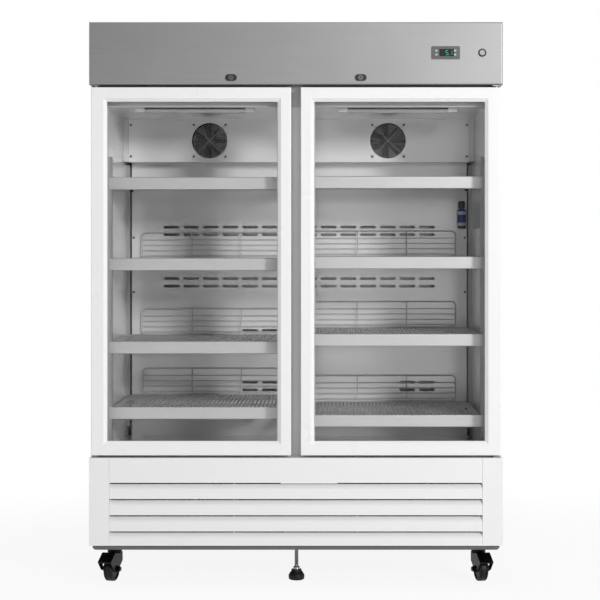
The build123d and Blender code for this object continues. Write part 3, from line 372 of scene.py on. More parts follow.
def bar_plastic_painted_gap(name):
    """The light bars' body: pale plastic with a painted shadow, a dark band along its top where the gap
    under the ceiling lies in shade.
    """
    finish = Finish(name)
    # painted shade: the top few millimetres of the bar turn dark, standing in for the shadow in the gap
    # under the ceiling
    painted_gap_shadow = finish.step(finish.axis("Z"), liner_ceiling - 0.0052, liner_ceiling - 0.0040)
    cloud = finish.noise(25.0, 3.0)
    return finish.show(finish.surface(
        Base_Color=finish.blend(painted_gap_shadow, grey(165), grey(40)),
        Roughness=0.35 + 0.1 * cloud,
        Normal=finish.bump(finish.noise(1800.0, 1.0), 0.05, 0.0003),
    ))


def frame_plastic_painted_shade(name):
    """The doorways' frame: near-white plastic, with painted shade: the head rail above the doorways turns
    grey, standing in for the shade under the header.
    """
    finish = Finish(name)
    # painted shade: above the doorways the frame turns grey, as the shade under the header
    header_shade = finish.step(finish.axis("Z"), liner_ceiling - 0.0015, liner_ceiling - 0.0005)
    cloud = finish.noise(25.0, 3.0)
    return finish.show(finish.surface(
        Base_Color=finish.blend(header_shade, grey(236), grey(205)),
        Roughness=0.4 + 0.1 * cloud,
        Normal=finish.bump(finish.noise(1800.0, 1.0), 0.1, 0.0003),
    ))


def clear_glass(name):
    """Clear panes: see-through head on, and more of a mirror the flatter it is seen, by Schlick's rule."""
    finish = Finish(name)
    facing = finish.add("ShaderNodeLayerWeight", inputs={"Blend": 0.5}, output="Facing")
    reflection = 0.003 + 0.85 * facing ** 5.0
    through = finish.add("ShaderNodeBsdfTransparent", inputs={"Color": (0.991, 0.992, 0.991, 1.0)})
    smear = finish.noise(5.0, 4.0)
    mirror = finish.surface(
        Base_Color=(1.0, 1.0, 1.0, 1.0), Metallic=1.0, Roughness=0.01 + 0.03 * smear
    )
    return finish.show(finish.add("ShaderNodeMixShader", inputs={0: reflection, 1: through, 2: mirror}))


def lit_segments(name):
    """The glowing strokes of the display's digits."""
    finish = Finish(name)
    glow = finish.noise(400.0)
    return finish.show(finish.surface(
        Base_Color=(0.0, 0.05, 0.02, 1.0),
        Roughness=0.4,
        Emission_Color=finish.blend(glow, (0.0, 0.45, 0.2, 1.0), (0.02, 0.62, 0.32, 1.0)),
        Emission_Strength=1.0,
    ))


def rigid_foam(name):
    """Pale closed-cell foam."""
    finish = Finish(name)
    cell = finish.noise(500.0, 3.0)
    return finish.show(finish.surface(
        Base_Color=finish.blend(cell, (0.62, 0.52, 0.28, 1.0), (0.78, 0.69, 0.42, 1.0)),
        Roughness=0.9,
        Normal=finish.bump(cell, 0.5, 0.001),
    ))


white_enamel = enamel("white_enamel", 240, 0.36)
door_enamel = enamel("door_enamel", 243, 0.28, coat=0.2)
liner_sheet = enamel("liner_sheet", 240, 0.2, coat=0.3, metallic=0.2)
# painted light: the coves take a paler, matt copy of the liner's enamel, to lift the shade they sit in
cove_sheet_painted_light = enamel("cove_sheet_painted_light", 248, 0.5)
duct_sheet = enamel("duct_sheet", 238, 0.15, coat=0.4, metallic=0.2)
pan_coat = enamel("pan_coat", 104, 0.5)
frame_plastic = frame_plastic_painted_shade("frame_plastic")
header_sheet = brushed_sheet("header_sheet", 149, 0.46, "X")
shelf_sheet = brushed_sheet("shelf_sheet", 202, 0.4, "X", metallic=0.5)
standard_sheet = smooth_metal("standard_sheet", 168, 0.4, metallic=0.5)
bracket_zinc = smooth_metal("bracket_zinc", 160, 0.35)
stem_steel = smooth_metal("stem_steel", 160, 0.22)
lock_metal = smooth_metal("lock_metal", 120, 0.25)
screw_metal = smooth_metal("screw_metal", 96, 0.4)
guard_metal = smooth_metal("guard_metal", 200, 0.45, metallic=0.3)
coil_aluminium = smooth_metal("coil_aluminium", 190, 0.4)
wire_coat = moulded("wire_coat", 198, 0.35, relief=0.05)
black_plastic = moulded("black_plastic", 26, 0.4)
black_rubber = moulded("black_rubber", 18, 0.5, grain=900.0, relief=0.3, specular=0.25)
caster_steel = moulded("caster_steel", 7, 0.35, grain=600.0, relief=0.1, specular=0.1)
bezel_plastic = moulded("bezel_plastic", 92, 0.42)
key_plastic = moulded("key_plastic", 190, 0.4)
cap_plastic = moulded("cap_plastic", 170, 0.35)
bar_end_plastic = moulded("bar_end_plastic", 190, 0.4)
display_black = moulded("display_black", 10, 0.08, relief=0.0)
gasket_rubber = moulded("gasket_rubber", 150, 0.6, relief=0.1)
opal_plastic = moulded("opal_plastic", 150, 0.5, relief=0.02)
light_housing = bar_plastic_painted_gap("light_housing")
machine_enamel = moulded("machine_enamel", 22, 0.3, grain=300.0, relief=0.1)
fin_coat = moulded("fin_coat", 40, 0.5)
fan_black = moulded("fan_black", 3, 0.7, specular=0.05)
bottle_violet = moulded("bottle_violet", 62, 0.35, relief=0.05, tint=(0.3, 0.6, 5.0))
band_plastic = moulded("band_plastic", 200, 0.4, relief=0.05)
door_panes = clear_glass("door_panes")
display_glow = lit_segments("display_glow")
foam_core = rigid_foam("foam_core")

NODE_FINISHES = {
    white_enamel: ("side_panels", "rear_panel", "top_cover", "base_posts", "louvre_grille"),
    door_enamel: ("left_door_frame", "right_door_frame"),
    liner_sheet: ("inner_liner", "fan_cover"),
    duct_sheet: ("duct_panel",),
    frame_plastic: ("opening_frame",),
    header_sheet: ("header_panel",),
    foam_core: ("insulation_foam",),
    door_panes: ("left_door_glass", "right_door_glass"),
    black_plastic: ("lock_housings", "switch_ring", "power_inlet", "shelf_clips"),
    lock_metal: ("left_lock_plug", "right_lock_plug"),
    bezel_plastic: ("controller_bezel",),
    display_black: ("display_window",),
    key_plastic: ("key_menu", "key_set", "key_up", "key_down"),
    cap_plastic: ("switch_cap",),
    bracket_zinc: ("hinge_brackets", "caster_plates"),
    fan_black: ("fan_motors", "left_fan_rotor", "right_fan_rotor", "condenser_fan_rotor"),
    coil_aluminium: ("evaporator_coil",),
    light_housing: ("light_bars",),
    opal_plastic: ("light_diffusers",),
    standard_sheet: ("shelf_standards",),
    pan_coat: ("base_pan",),
    machine_enamel: ("compressor",),
    fin_coat: ("condenser",),
    caster_steel: tuple(f"{name}_caster_fork" for name in CASTER_TURNS)
    + ("front_left_brake_pedal", "front_right_brake_pedal"),
}
for finish_material, node_names in NODE_FINISHES.items():
    for node_name in node_names:
        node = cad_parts[node_name]
        node.data.materials.clear()
        node.data.materials.append(finish_material)


# Shelves: a slotted deck with a folded front lip and flanges, all of one sheet

SHELF_WALL = 0.0012
SHELF_FRONT = liner_low[1] + 0.002
SHELF_BACK = duct_low[1] - 0.012
SHELF_INNER = 0.010
SHELF_OUTER = 0.565
LIP_OUTER = 0.574
LIP_HEIGHT = 0.036
LIP_BEND = 0.0022
LIP_TURN_REACH = 0.013
LIP_TURN_DEPTH = 0.0018
FLANGE_HEIGHT = 0.016
DECK_MARGIN = 0.014
SLOT_PITCH = 0.0122
SLOT_HALF_WIDTH = 0.0031
SLOT_EDGE = 0.004
SLOT_ROWS = ((0.016, 0.086), (0.126, 0.278), (0.331, 0.478))


def slotted_cells(x_lines, row):
    """Flat cells side by side, each with one round-ended slot: ten points outside and ten round the slot."""
    start, end = row
    x0, x1 = x_lines[:-1], x_lines[1:]
    middle = (x0 + x1) / 2
    front_middle, back_middle = start + SLOT_HALF_WIDTH, end - SLOT_HALF_WIDTH
    near, far = start - SLOT_EDGE, end + SLOT_EDGE
    front_end = arc(SLOT_HALF_WIDTH, 180, 360, 4)
    back_end = arc(SLOT_HALF_WIDTH, 0, 180, 4)
    hole_x = np.concatenate([front_end[:, 0], back_end[:, 0]])
    hole_y = np.concatenate([front_end[:, 1] + front_middle, back_end[:, 1] + back_middle])
    outer_x = np.stack([x0, x0, middle, x1, x1, x1, x1, middle, x0, x0], axis=1)
    outer_y = np.array(
        [front_middle, near, near, near, front_middle, back_middle, far, far, far, back_middle]
    )
    cells = len(middle)
    points = np.zeros((cells, 20, 3))
    points[:, :10, 0] = outer_x
    points[:, :10, 1] = outer_y
    points[:, 10:, 0] = middle[:, None] + hole_x
    points[:, 10:, 1] = hole_y
    step = np.arange(10)
    turn = (step + 1) % 10
    template = np.stack([step, turn, 10 + turn, 10 + step], axis=1)
    quads = (template[None] + 20 * np.arange(cells)[:, None, None]).reshape(-1, 4)
    return points.reshape(-1, 3), quads, []


def flat_net(x_values, y_values):
    """A flat net of quads over the given lines, facing up."""
    x, y = np.meshgrid(x_values, y_values, indexing="ij")
    return grid(np.stack([x, y, np.zeros_like(x)], axis=2))


def folded_strip(profile, ends, side_axis):
    """A folded edge: a profile of points in space carried straight along one axis between two ends."""
    strip = np.repeat(np.asarray(profile, float)[:, None, :], 2, axis=1)
    strip[:, :, side_axis] += np.asarray(ends)[None, :]
    return grid(strip)


def bend_down(height, hem, bend):
    """A fold's profile as (run, drop): round the top edge, straight down, and a hem turned back."""
    top = arc(bend, 90, 180, 4) + (bend, -bend)
    low = arc(bend, 180, 270, 4) + (bend, bend - height)
    parts = [top, low]
    if hem:
        parts.append(np.array([[hem, -height]]))
    return np.concatenate(parts)


def front_lip(side, level):
    """The lip's fold carried along its face, which runs straight and then turns back at the outer end on a
    quarter ellipse: x = straight end + reach * sin t, y = front + depth * (1 - cos t). Each point of the
    fold stands back from the face along the face's own normal."""
    turn = np.radians(np.linspace(0, 90, 10))
    straight = LIP_OUTER - LIP_TURN_REACH
    run = np.concatenate([[SHELF_INNER], straight + LIP_TURN_REACH * np.sin(turn)])
    depth = np.concatenate([[0.0], LIP_TURN_DEPTH * (1 - np.cos(turn))])
    normal_x = np.concatenate([[0.0], LIP_TURN_DEPTH * np.sin(turn)])
    normal_y = np.concatenate([[-1.0], -LIP_TURN_REACH * np.cos(turn)])
    length = np.hypot(normal_x, normal_y)
    fold = bend_down(LIP_HEIGHT, 0.012, LIP_BEND)
    back = fold[:, 0][:, None]
    x = side * (run - back * normal_x / length)
    y = SHELF_FRONT + depth - back * normal_y / length
    z = np.broadcast_to(level + fold[:, 1][:, None], x.shape)
    net = np.stack([x, y, z], axis=2)
    return grid(net[:, ::-1] if side > 0 else net)


def shelf_shapes(side, level):
    """One shelf's sheet: deck, front lip, two side flanges and a back flange, as open faces."""
    x_low, x_high = sorted((side * SHELF_INNER, side * SHELF_OUTER))
    x_low, x_high = x_low + LIP_BEND, x_high - LIP_BEND
    y_low, y_high = SHELF_FRONT + LIP_BEND, SHELF_BACK - LIP_BEND
    columns = int((x_high - x_low - 2 * DECK_MARGIN) / SLOT_PITCH)
    first = (x_low + x_high - columns * SLOT_PITCH) / 2
    x_lines = first + SLOT_PITCH * np.arange(columns + 1)
    x_fine = first + SLOT_PITCH / 2 * np.arange(2 * columns + 1)
    rows = [(SHELF_FRONT + start, SHELF_FRONT + end) for start, end in SLOT_ROWS]
    shapes = [slotted_cells(x_lines, row) for row in rows]
    band_lines = [y_low]
    all_lines = [y_low]
    for start, end in rows:
        band_lines += [start - SLOT_EDGE, end + SLOT_EDGE]
        all_lines += [
            start - SLOT_EDGE,
            start + SLOT_HALF_WIDTH,
            end - SLOT_HALF_WIDTH,
            end + SLOT_EDGE,
        ]
    band_lines.append(y_high)
    all_lines.append(y_high)
    shapes += [flat_net(x_fine, band_lines[k:k + 2]) for k in range(0, len(band_lines), 2)]
    shapes.append(flat_net([x_low, x_lines[0]], all_lines))
    shapes.append(flat_net([x_lines[-1], x_high], all_lines))
    deck_points, deck_quads, caps = join(shapes)
    deck = (deck_points + (0, 0, level), deck_quads, caps)
    flange = bend_down(FLANGE_HEIGHT, 0.0, LIP_BEND)
    run, height = flange[:, 0], level + flange[:, 1]
    start = np.zeros(len(flange))
    back_profile = np.stack([start, SHELF_BACK - run, height], axis=1)
    low_profile = np.stack([x_low - LIP_BEND + run, start, height], axis=1)
    high_profile = np.stack([x_high + LIP_BEND - run, start, height], axis=1)
    return [
        deck,
        front_lip(side, level),
        folded_strip(back_profile, (x_low, x_high), 0),
        folded_strip(low_profile, (y_low, y_high), 1),
        folded_strip(high_profile, (y_high, y_low), 1),
    ]


for side_name, side in SIDES.items():
    shelves = [shape for level in SHELF_LEVELS[side_name] for shape in shelf_shapes(side, level)]
    make_piece(
        f"{side_name}_slotted_shelves",
        shelves,
        shelf_sheet,
        "cabinet",
        replaces=(f"{side_name}_shelves",),
        closed=False,
        wall=SHELF_WALL,
    )


# Back stops of round wire

STOP_INNER = 0.028
STOP_OUTER = 0.527
STOP_HEIGHT = 0.090
STOP_CORNER = 0.014
STOP_FRAME_RADIUS = 0.0019
STOP_WIRE_RADIUS = 0.0012
STOP_WIRE_LEVELS = (0.011, 0.0286, 0.0464, 0.064)
STOP_BAYS = 3


def straight_wire(start, end, radius):
    """A round wire between two places at one depth."""
    return tube(np.array([start, end]), radius, (0, 1, 0))


def back_stop(side, level):
    """One stop: a wire frame with round corners, cross wires and two uprights."""
    middle_x = side * (STOP_INNER + STOP_OUTER) / 2
    middle_y = SHELF_BACK - STOP_FRAME_RADIUS
    width = STOP_OUTER - STOP_INNER - 2 * STOP_FRAME_RADIUS
    height = STOP_HEIGHT - 2 * STOP_FRAME_RADIUS
    outline = rounded_outline(width, height, STOP_CORNER)
    frame_path = facing_front(outline, middle_y, (middle_x, level + STOP_HEIGHT / 2))
    shapes = [tube(frame_path, STOP_FRAME_RADIUS, (0, 1, 0), closed=True)]
    for rise in STOP_WIRE_LEVELS:
        ends = [(middle_x + end * width / 2, middle_y, level + rise) for end in (-1, 1)]
        shapes.append(straight_wire(*ends, STOP_WIRE_RADIUS))
    for bay in range(1, STOP_BAYS):
        x = middle_x - width / 2 + bay * width / STOP_BAYS
        ends = [(x, middle_y, level + end) for end in (STOP_FRAME_RADIUS, STOP_HEIGHT - STOP_FRAME_RADIUS)]
        shapes.append(straight_wire(*ends, STOP_WIRE_RADIUS * 1.3))
    return shapes


stops = [
    shape
    for side_name, side in SIDES.items()
    for level in SHELF_LEVELS[side_name][1:]
    for shape in back_stop(side, level)
]
make_piece("wire_back_stops", stops, wire_coat, "cabinet", replaces=("back_stops",))


# Coved corners that bring the side walls in to the ends of the fan housing

COVE_REACH = 0.045
COVE_DEPTH = 0.0122
COVE_WALL = 0.0012


def cove(side):
    """A side wall's inner face carried inwards on a parabola, x = wall - depth * u * u and
    y = start + reach * u, between the levels of the housing's bottom and the ceiling."""
    u = np.linspace(0, 1, 9)
    x = side * (-liner_side - 0.0003 - COVE_DEPTH * u * u)
    y = cover_low[1] + 0.0015 - COVE_REACH * (1 - u)
    levels = np.array([cover_low[2] + 0.0003, cover_high[2] - 0.0003])
    x, z = np.meshgrid(x, levels)
    net = np.stack([x, np.broadcast_to(y, x.shape), z], axis=2)
    return grid(net if side < 0 else net[::-1])


make_piece(
    "side_wall_coves",
    [cove(-1), cove(1)],
    cove_sheet_painted_light,
    "cabinet",
    closed=False,
    wall=COVE_WALL,
)


# Fan guards of round wire, with an eye at each corner

GUARD_WIRE = 0.0008
GUARD_PITCH = 0.0065
GUARD_RINGS = 9
GUARD_SPACING = 0.0525
EYE_RADIUS = 0.0042


def fan_guard(side):
    """Even rings, two crossed wires that carry them and four eyes for the screws."""
    middle = (side * FAN_X, FAN_LEVEL)
    y = cover_low[1] - GUARD_WIRE
    shapes = []
    for ring in range(1, GUARD_RINGS + 1):
        circle = arc(ring * GUARD_PITCH, 0, 360, 40)[:-1]
        shapes.append(tube(facing_front(circle, y, middle), GUARD_WIRE, (0, 1, 0), sides=6, closed=True))
    for lean in (-1, 1):
        reach = GUARD_SPACING - EYE_RADIUS / 2
        ends = [(middle[0] + end * reach, y, middle[1] + end * lean * reach) for end in (-1, 1)]
        shapes.append(straight_wire(*ends, GUARD_WIRE * 1.2))
    for eye_x in (-GUARD_SPACING, GUARD_SPACING):
        for eye_z in (-GUARD_SPACING, GUARD_SPACING):
            eye_middle = (middle[0] + eye_x, middle[1] + eye_z)
            circle = facing_front(arc(EYE_RADIUS, 0, 360, 16)[:-1], y, eye_middle)
            shapes.append(tube(circle, GUARD_WIRE * 1.2, (0, 1, 0), sides=6, closed=True))
    return shapes


make_piece(
    "wire_fan_guards",
    fan_guard(-1) + fan_guard(1),
    guard_metal,
    "cabinet",
    replaces=("fan_guards",),
)


# Pan-head screws with a shallow dished middle

SCREW_RADIUS = 0.004
SCREW_HEIGHT = 0.002
SCREW_INSET = 0.0065
SCREW_RISE = 0.104
DUCT_SCREW_LEVELS = (0.505, 0.876, 1.059)


def pan_head(x, y, z, radius=SCREW_RADIUS, height=SCREW_HEIGHT):
    """A domed head: radius * cos a across and height * sin a proud, with a shallow dished middle."""
    angle = np.radians(np.linspace(0, 78, 7))
    dome = np.stack([radius * np.cos(angle), height * np.sin(angle)], axis=1)
    recess = [[radius * 0.16, height * 0.6], [0.0, height * 0.55]]
    profile = np.concatenate([[[radius, 0.0]], dome[1:], recess])
    return revolve(profile, (x, y, z), (0, -1, 0), (1, 0, 0), steps=20)


screw_x = cover_high[0] - SCREW_INSET
cover_middle = (cover_low[2] + cover_high[2]) / 2
screws = [
    pan_head(side * screw_x, cover_low[1], cover_middle + rise * SCREW_RISE / 2)
    for side in (-1, 1)
    for rise in (-1, 1)
]
screws += [
    pan_head(side * screw_x, duct_low[1], level)
    for side in (-1, 1)
    for level in DUCT_SCREW_LEVELS
]
screws += [
    pan_head(side * FAN_X + x, cover_low[1], FAN_LEVEL + z, EYE_RADIUS * 0.8)
    for side in (-1, 1)
    for x in (-GUARD_SPACING, GUARD_SPACING)
    for z in (-GUARD_SPACING, GUARD_SPACING)
]
make_piece("pan_head_screws", screws, screw_metal, "cabinet", replaces=("panel_screws",))


# End caps that close the two light bars

BAR_CAP_LENGTH = 0.0277
BAR_CAP_WALL = 0.0008
BAR_CAP_RIM = 0.0012
BAR_CAP_RIM_SHARE = 0.93
BAR_MIDDLE = 0.3115
bar_low, bar_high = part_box("light_bars")
BAR_END = bar_high[0]
BAR_START = 2 * BAR_MIDDLE - BAR_END


def bar_cap(start, end):
    """The bar's trapezium, a wall larger all round, between two places along X, with a rim at each end."""
    middle_y = (bar_low[1] + bar_high[1]) / 2
    half_top = (bar_high[1] - bar_low[1]) / 2 + BAR_CAP_WALL
    half_low = half_top - (bar_high[2] - bar_low[2]) / 2
    low, high = bar_low[2] - BAR_CAP_WALL, bar_high[2]
    section = np.array([(-half_top, high), (half_top, high), (half_low, low), (-half_low, low)])
    centre = np.array([0.0, (low + high) / 2])
    runs = np.array([start, start + BAR_CAP_RIM, end - BAR_CAP_RIM, end])
    shrink = np.array([BAR_CAP_RIM_SHARE, 1.0, 1.0, BAR_CAP_RIM_SHARE])
    flat = centre + (section - centre)[None, :, :] * shrink[:, None, None]
    flat[:, :, 1] = np.minimum(flat[:, :, 1], high)
    points = np.stack(
        [np.broadcast_to(runs[:, None], flat.shape[:2]), middle_y + flat[:, :, 0], flat[:, :, 1]], axis=2
    )
    places, quads, caps = grid(points, wrap_columns=True)
    return places, quads, [np.arange(4), np.arange(12, 16)[::-1]]


bar_caps = [
    bar_cap(*sorted((side * end, side * (end + way * BAR_CAP_LENGTH))))
    for side in (-1, 1)
    for end, way in ((BAR_START, 1), (BAR_END, -1))
]
make_piece("light_bar_ends", bar_caps, bar_end_plastic, "cabinet", smooth=30.0)


# Door gaskets with their bellows, and the spacer bars between the panes

GASKET_HALF_WIDTH = 0.007
SPACER_HALF_WIDTH = 0.003
SPACER_INSET = 0.006
PANE_THICKNESS = 0.0042


def gasket_profile(low, high):
    """The seal's cross-section: a front bulb, a waist and two lips, between two depths."""
    depth = high - low
    half = GASKET_HALF_WIDTH
    return [
        (-half, low),
        (half, low),
        (half, low + 0.2 * depth),
        (half * 0.55, low + 0.38 * depth),
        (half * 0.95, low + 0.6 * depth),
        (half, high),
        (-half, high),
        (-half * 0.95, low + 0.6 * depth),
        (-half * 0.55, low + 0.38 * depth),
        (-half, low + 0.2 * depth),
    ]


for side_name, side in SIDES.items():
    low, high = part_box(f"{side_name}_door_gasket")
    middle = ((low[0] + high[0]) / 2, (low[2] + high[2]) / 2)
    half_width = (high[0] - low[0]) / 2 - GASKET_HALF_WIDTH
    half_height = (high[2] - low[2]) / 2 - GASKET_HALF_WIDTH
    make_piece(
        f"{side_name}_door_seal",
        [ring_of(gasket_profile(low[1], high[1]), half_width, half_height, middle)],
        gasket_rubber,
        f"{side_name}_door",
        replaces=(f"{side_name}_door_gasket",),
    )
    glass_low, glass_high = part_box(f"{side_name}_door_glass")
    spacer_half_width = (glass_high[0] - glass_low[0]) / 2 - SPACER_INSET
    spacer_half_height = (glass_high[2] - glass_low[2]) / 2 - SPACER_INSET
    spacer_front, spacer_back = glass_low[1] + PANE_THICKNESS, glass_high[1] - PANE_THICKNESS
    spacer_section = [
        (-SPACER_HALF_WIDTH, spacer_front),
        (SPACER_HALF_WIDTH, spacer_front),
        (SPACER_HALF_WIDTH, spacer_back),
        (-SPACER_HALF_WIDTH, spacer_back),
    ]
    make_piece(
        f"{side_name}_pane_spacer",
        [ring_of(spacer_section, spacer_half_width, spacer_half_height, middle)],
        coil_aluminium,
        f"{side_name}_door",
    )


# The display's reading

DIGIT_HEIGHT = 0.0135
DIGIT_WIDTH = 0.0072
STROKE = 0.0016
STROKE_SHARE = 0.94
STROKE_FRONT = 0.0001
STROKE_BACK = 0.00005
DIGIT_LEAN = 0.08
SEGMENTS = {
    "top": (0, 1, "across"),
    "middle": (0, 0, "across"),
    "bottom": (0, -1, "across"),
    "upper_left": (-1, 0.5, "up"),
    "upper_right": (1, 0.5, "up"),
    "lower_left": (-1, -0.5, "up"),
    "lower_right": (1, -0.5, "up"),
}
DIGITS = {
    "five": ("top", "upper_left", "middle", "lower_right", "bottom"),
    "one": ("upper_right", "lower_right"),
}


def stroke_outline(length):
    """A six-cornered stroke with pointed ends, lying along X."""
    half, tip = length / 2, STROKE / 2
    lower = [(-half, 0), (-half + tip, -tip), (half - tip, -tip)]
    upper = [(half, 0), (half - tip, tip), (-half + tip, tip)]
    return np.array(lower + upper)


def lit_stroke(outline, y, place):
    """One glowing stroke on the window's face at depth y."""
    return plate(outline, y - STROKE_FRONT, y + STROKE_BACK, place)


def digit_shapes(digit, middle_x, middle_z, y):
    """The strokes of one digit, each moved sideways by its height, so that the digit leans."""
    shapes = []
    for segment in DIGITS[digit]:
        across, up, way = SEGMENTS[segment]
        length = DIGIT_WIDTH if way == "across" else DIGIT_HEIGHT / 2
        outline = stroke_outline(length * STROKE_SHARE)
        if way == "up":
            outline = outline[:, ::-1]
        lean = DIGIT_LEAN * up * DIGIT_HEIGHT / 2
        place = (middle_x + across * DIGIT_WIDTH / 2 + lean, middle_z + up * DIGIT_HEIGHT / 2)
        shapes.append(lit_stroke(outline, y, place))
    return shapes


window_low, window_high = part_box("display_window")
window_middle_x = (window_low[0] + window_high[0]) / 2
window_middle_z = (window_low[2] + window_high[2]) / 2
point_place = (window_middle_x + 0.0075, window_middle_z - DIGIT_HEIGHT / 2)
reading = digit_shapes("five", window_middle_x + 0.001, window_middle_z, window_low[1])
reading += digit_shapes("one", window_middle_x + 0.0125, window_middle_z, window_low[1])
reading.append(lit_stroke(stroke_outline(0.0022), window_low[1], point_place))
make_piece("display_reading", reading, display_glow, "cabinet", smooth=0)


# Buffer bottle of the sensor

bottle_low, bottle_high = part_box("sensor_bottle")
BOTTLE_X = (bottle_low[0] + bottle_high[0]) / 2
BOTTLE_Y = duct_low[1] - 0.0165
BOTTLE_RADIUS = 0.015
BOTTLE_BOTTOM = bottle_low[2]
BOTTLE_HEIGHT = bottle_high[2] - bottle_low[2]
CAP_HEIGHT = 0.024


def bottle_profiles():
    """Outlines as (radius, height): the violet body with its round shoulder, the black cap and the foot."""
    shoulder = BOTTLE_HEIGHT - CAP_HEIGHT
    bend = arc(0.006, 0, 80, 5) + (BOTTLE_RADIUS - 0.006, shoulder - 0.009)
    base = [[0.0, 0.007], [BOTTLE_RADIUS, 0.007]]
    body = np.concatenate([base, bend, [[0.008, shoulder], [0.0, shoulder]]])
    cap = [(0.0, shoulder), (0.011, shoulder), (0.0115, shoulder + 0.002), (0.011, BOTTLE_HEIGHT - 0.002)]
    cap += [(0.009, BOTTLE_HEIGHT), (0.0, BOTTLE_HEIGHT)]
    foot = [(0.0, 0.0), (0.0125, 0.0), (0.0135, 0.0015), (0.0135, 0.0078), (0.0, 0.0078)]
    return body, cap, foot


def bottle_band(start, height):
    """A clip band's outline as (radius, height), a closed square section against the bottle."""
    return [
        (BOTTLE_RADIUS, start),
        (BOTTLE_RADIUS + 0.0015, start),
        (BOTTLE_RADIUS + 0.0015, start + height),
        (BOTTLE_RADIUS, start + height),
        (BOTTLE_RADIUS, start),
    ]


bottle_origin = (BOTTLE_X, BOTTLE_Y, BOTTLE_BOTTOM)
body_profile, cap_profile, foot_profile = bottle_profiles()
make_piece(
    "bottle_body",
    [revolve(body_profile, bottle_origin, (0, 0, 1), (1, 0, 0))],
    bottle_violet,
    "cabinet",
    replaces=("sensor_bottle",),
)
make_piece(
    "bottle_cap_and_foot",
    [revolve(profile, bottle_origin, (0, 0, 1), (1, 0, 0)) for profile in (cap_profile, foot_profile)],
    black_plastic,
    "cabinet",
)
make_piece(
    "bottle_clips",
    [revolve(bottle_band(start, 0.011), bottle_origin, (0, 0, 1), (1, 0, 0)) for start in (0.009, 0.046)],
    band_plastic,
    "cabinet",
)


# Levelling foot: bright threaded stem and a rubber pad

foot_low, foot_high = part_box("levelling_foot")
FOOT_X = (foot_low[0] + foot_high[0]) / 2
FOOT_Y = (foot_low[1] + foot_high[1]) / 2
PAD_RADIUS = (foot_high[0] - foot_low[0]) / 2
PAD_TOP = 0.033
COLLAR_TOP = 0.042
THREAD_PITCH = 0.00175
STEM_RADIUS = 0.006


def thread_profile(start, end):
    """A stem whose radius goes in and out once a pitch."""
    turns = int((end - start) / THREAD_PITCH)
    heights = start + THREAD_PITCH / 2 * np.arange(2 * turns + 1)
    radii = np.where(np.arange(2 * turns + 1) % 2, STEM_RADIUS - 0.0005, STEM_RADIUS)
    return np.stack([radii, heights], axis=1)


pad_profile = np.concatenate([
    [[0.0, 0.0], [PAD_RADIUS - 0.007, 0.0]],
    arc(0.007, -90, 0, 6) + (PAD_RADIUS - 0.007, 0.007),
    [[PAD_RADIUS, 0.0155], [PAD_RADIUS - 0.0012, 0.0172]],
    [[0.0208, 0.0212], [0.0172, 0.0262], [0.0157, 0.0293], [0.0152, PAD_TOP - 0.0006], [0.0142, PAD_TOP]],
    [[0.0, PAD_TOP]],
])
stem_profile = np.concatenate([
    [[0.0, PAD_TOP - 0.001], [0.0104, PAD_TOP - 0.001], [0.0104, 0.0352]],
    [[0.0098, 0.0362], [0.0104, 0.0372], [0.0102, 0.0392], [0.0088, 0.0408]],
    [[0.0072, COLLAR_TOP], [STEM_RADIUS, COLLAR_TOP]],
    thread_profile(COLLAR_TOP + 0.001, foot_high[2] - 0.0005),
    [[0.0, foot_high[2]]],
])
foot_origin = (FOOT_X, FOOT_Y, 0.0)
make_piece(
    "foot_pad",
    [revolve(pad_profile, foot_origin, (0, 0, 1), (1, 0, 0), steps=48)],
    black_rubber,
    "foot",
    replaces=("levelling_foot",),
)
make_piece(
    "foot_stem",
    [revolve(stem_profile, foot_origin, (0, 0, 1), (1, 0, 0), steps=24)],
    stem_steel,
    "foot",
)


# Caster wheels with a crowned tread, a recessed web and a hub

def wheel_profile():
    """Half of the wheel's section as (radius, distance from its middle plane), mirrored to the other half:
    hub, dished web, rim lip, round shoulder and a tread with one shallow groove each side of its middle."""
    hub = [(0.0041, 0.0146), (0.0100, 0.0146), (0.0109, 0.0138), (0.0112, 0.0115)]
    web = [(0.0118, 0.0110), (0.0272, 0.0106), (0.0283, 0.0112), (0.0290, 0.0132), (0.0297, 0.0139)]
    shoulder = arc(0.005, 90, 0, 5)[:, ::-1][::-1] + (WHEEL_RADIUS - 0.005, 0.009)
    groove = [(WHEEL_RADIUS, 0.0072), (WHEEL_RADIUS - 0.0006, 0.0067), (WHEEL_RADIUS, 0.0062)]
    half = np.concatenate([hub, web, shoulder[::-1], groove])
    return np.concatenate([half, half[::-1] * (1, -1), half[:1]])


for caster_name, turn in CASTER_TURNS.items():
    wheel_low, wheel_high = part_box(f"{caster_name}_caster_wheel")
    wheel_middle = [(a + b) / 2 for a, b in zip(wheel_low, wheel_high)]
    trail = (-math.sin(math.radians(turn)), math.cos(math.radians(turn)), 0.0)
    axle = (trail[1], -trail[0], 0.0)
    make_piece(
        f"{caster_name}_tyre",
        [revolve(wheel_profile(), wheel_middle, axle, (0, 0, 1), steps=56)],
        black_rubber,
        f"{caster_name}_wheel",
        replaces=(f"{caster_name}_caster_wheel",),
    )


# Floor, light and camera

def pale_floor():
    """A pale floor that keeps the shadow near the object and turns into the white background further out."""
    finish = Finish("pale_floor")
    x, y = finish.axis("X"), finish.axis("Y")
    distance = (x * x + y * y) ** 0.5
    seen = finish.add("ShaderNodeLightPath", output="Is Camera Ray")
    mirrored = finish.add("ShaderNodeLightPath", output="Is Glossy Ray")
    through = finish.add("ShaderNodeLightPath", output="Is Transmission Ray")
    shown = seen.larger(mirrored).larger(through)
    share = shown * (0.9 + 0.1 * finish.step(distance, 0.9, 2.2))
    matt = finish.surface(Base_Color=(0.82, 0.82, 0.82, 1.0), Roughness=0.9)
    white = finish.add("ShaderNodeEmission", inputs={"Color": (1.0, 1.0, 1.0, 1.0), "Strength": 1.0})
    return finish.show(finish.add("ShaderNodeMixShader", inputs={0: share, 1: matt, 2: white}))


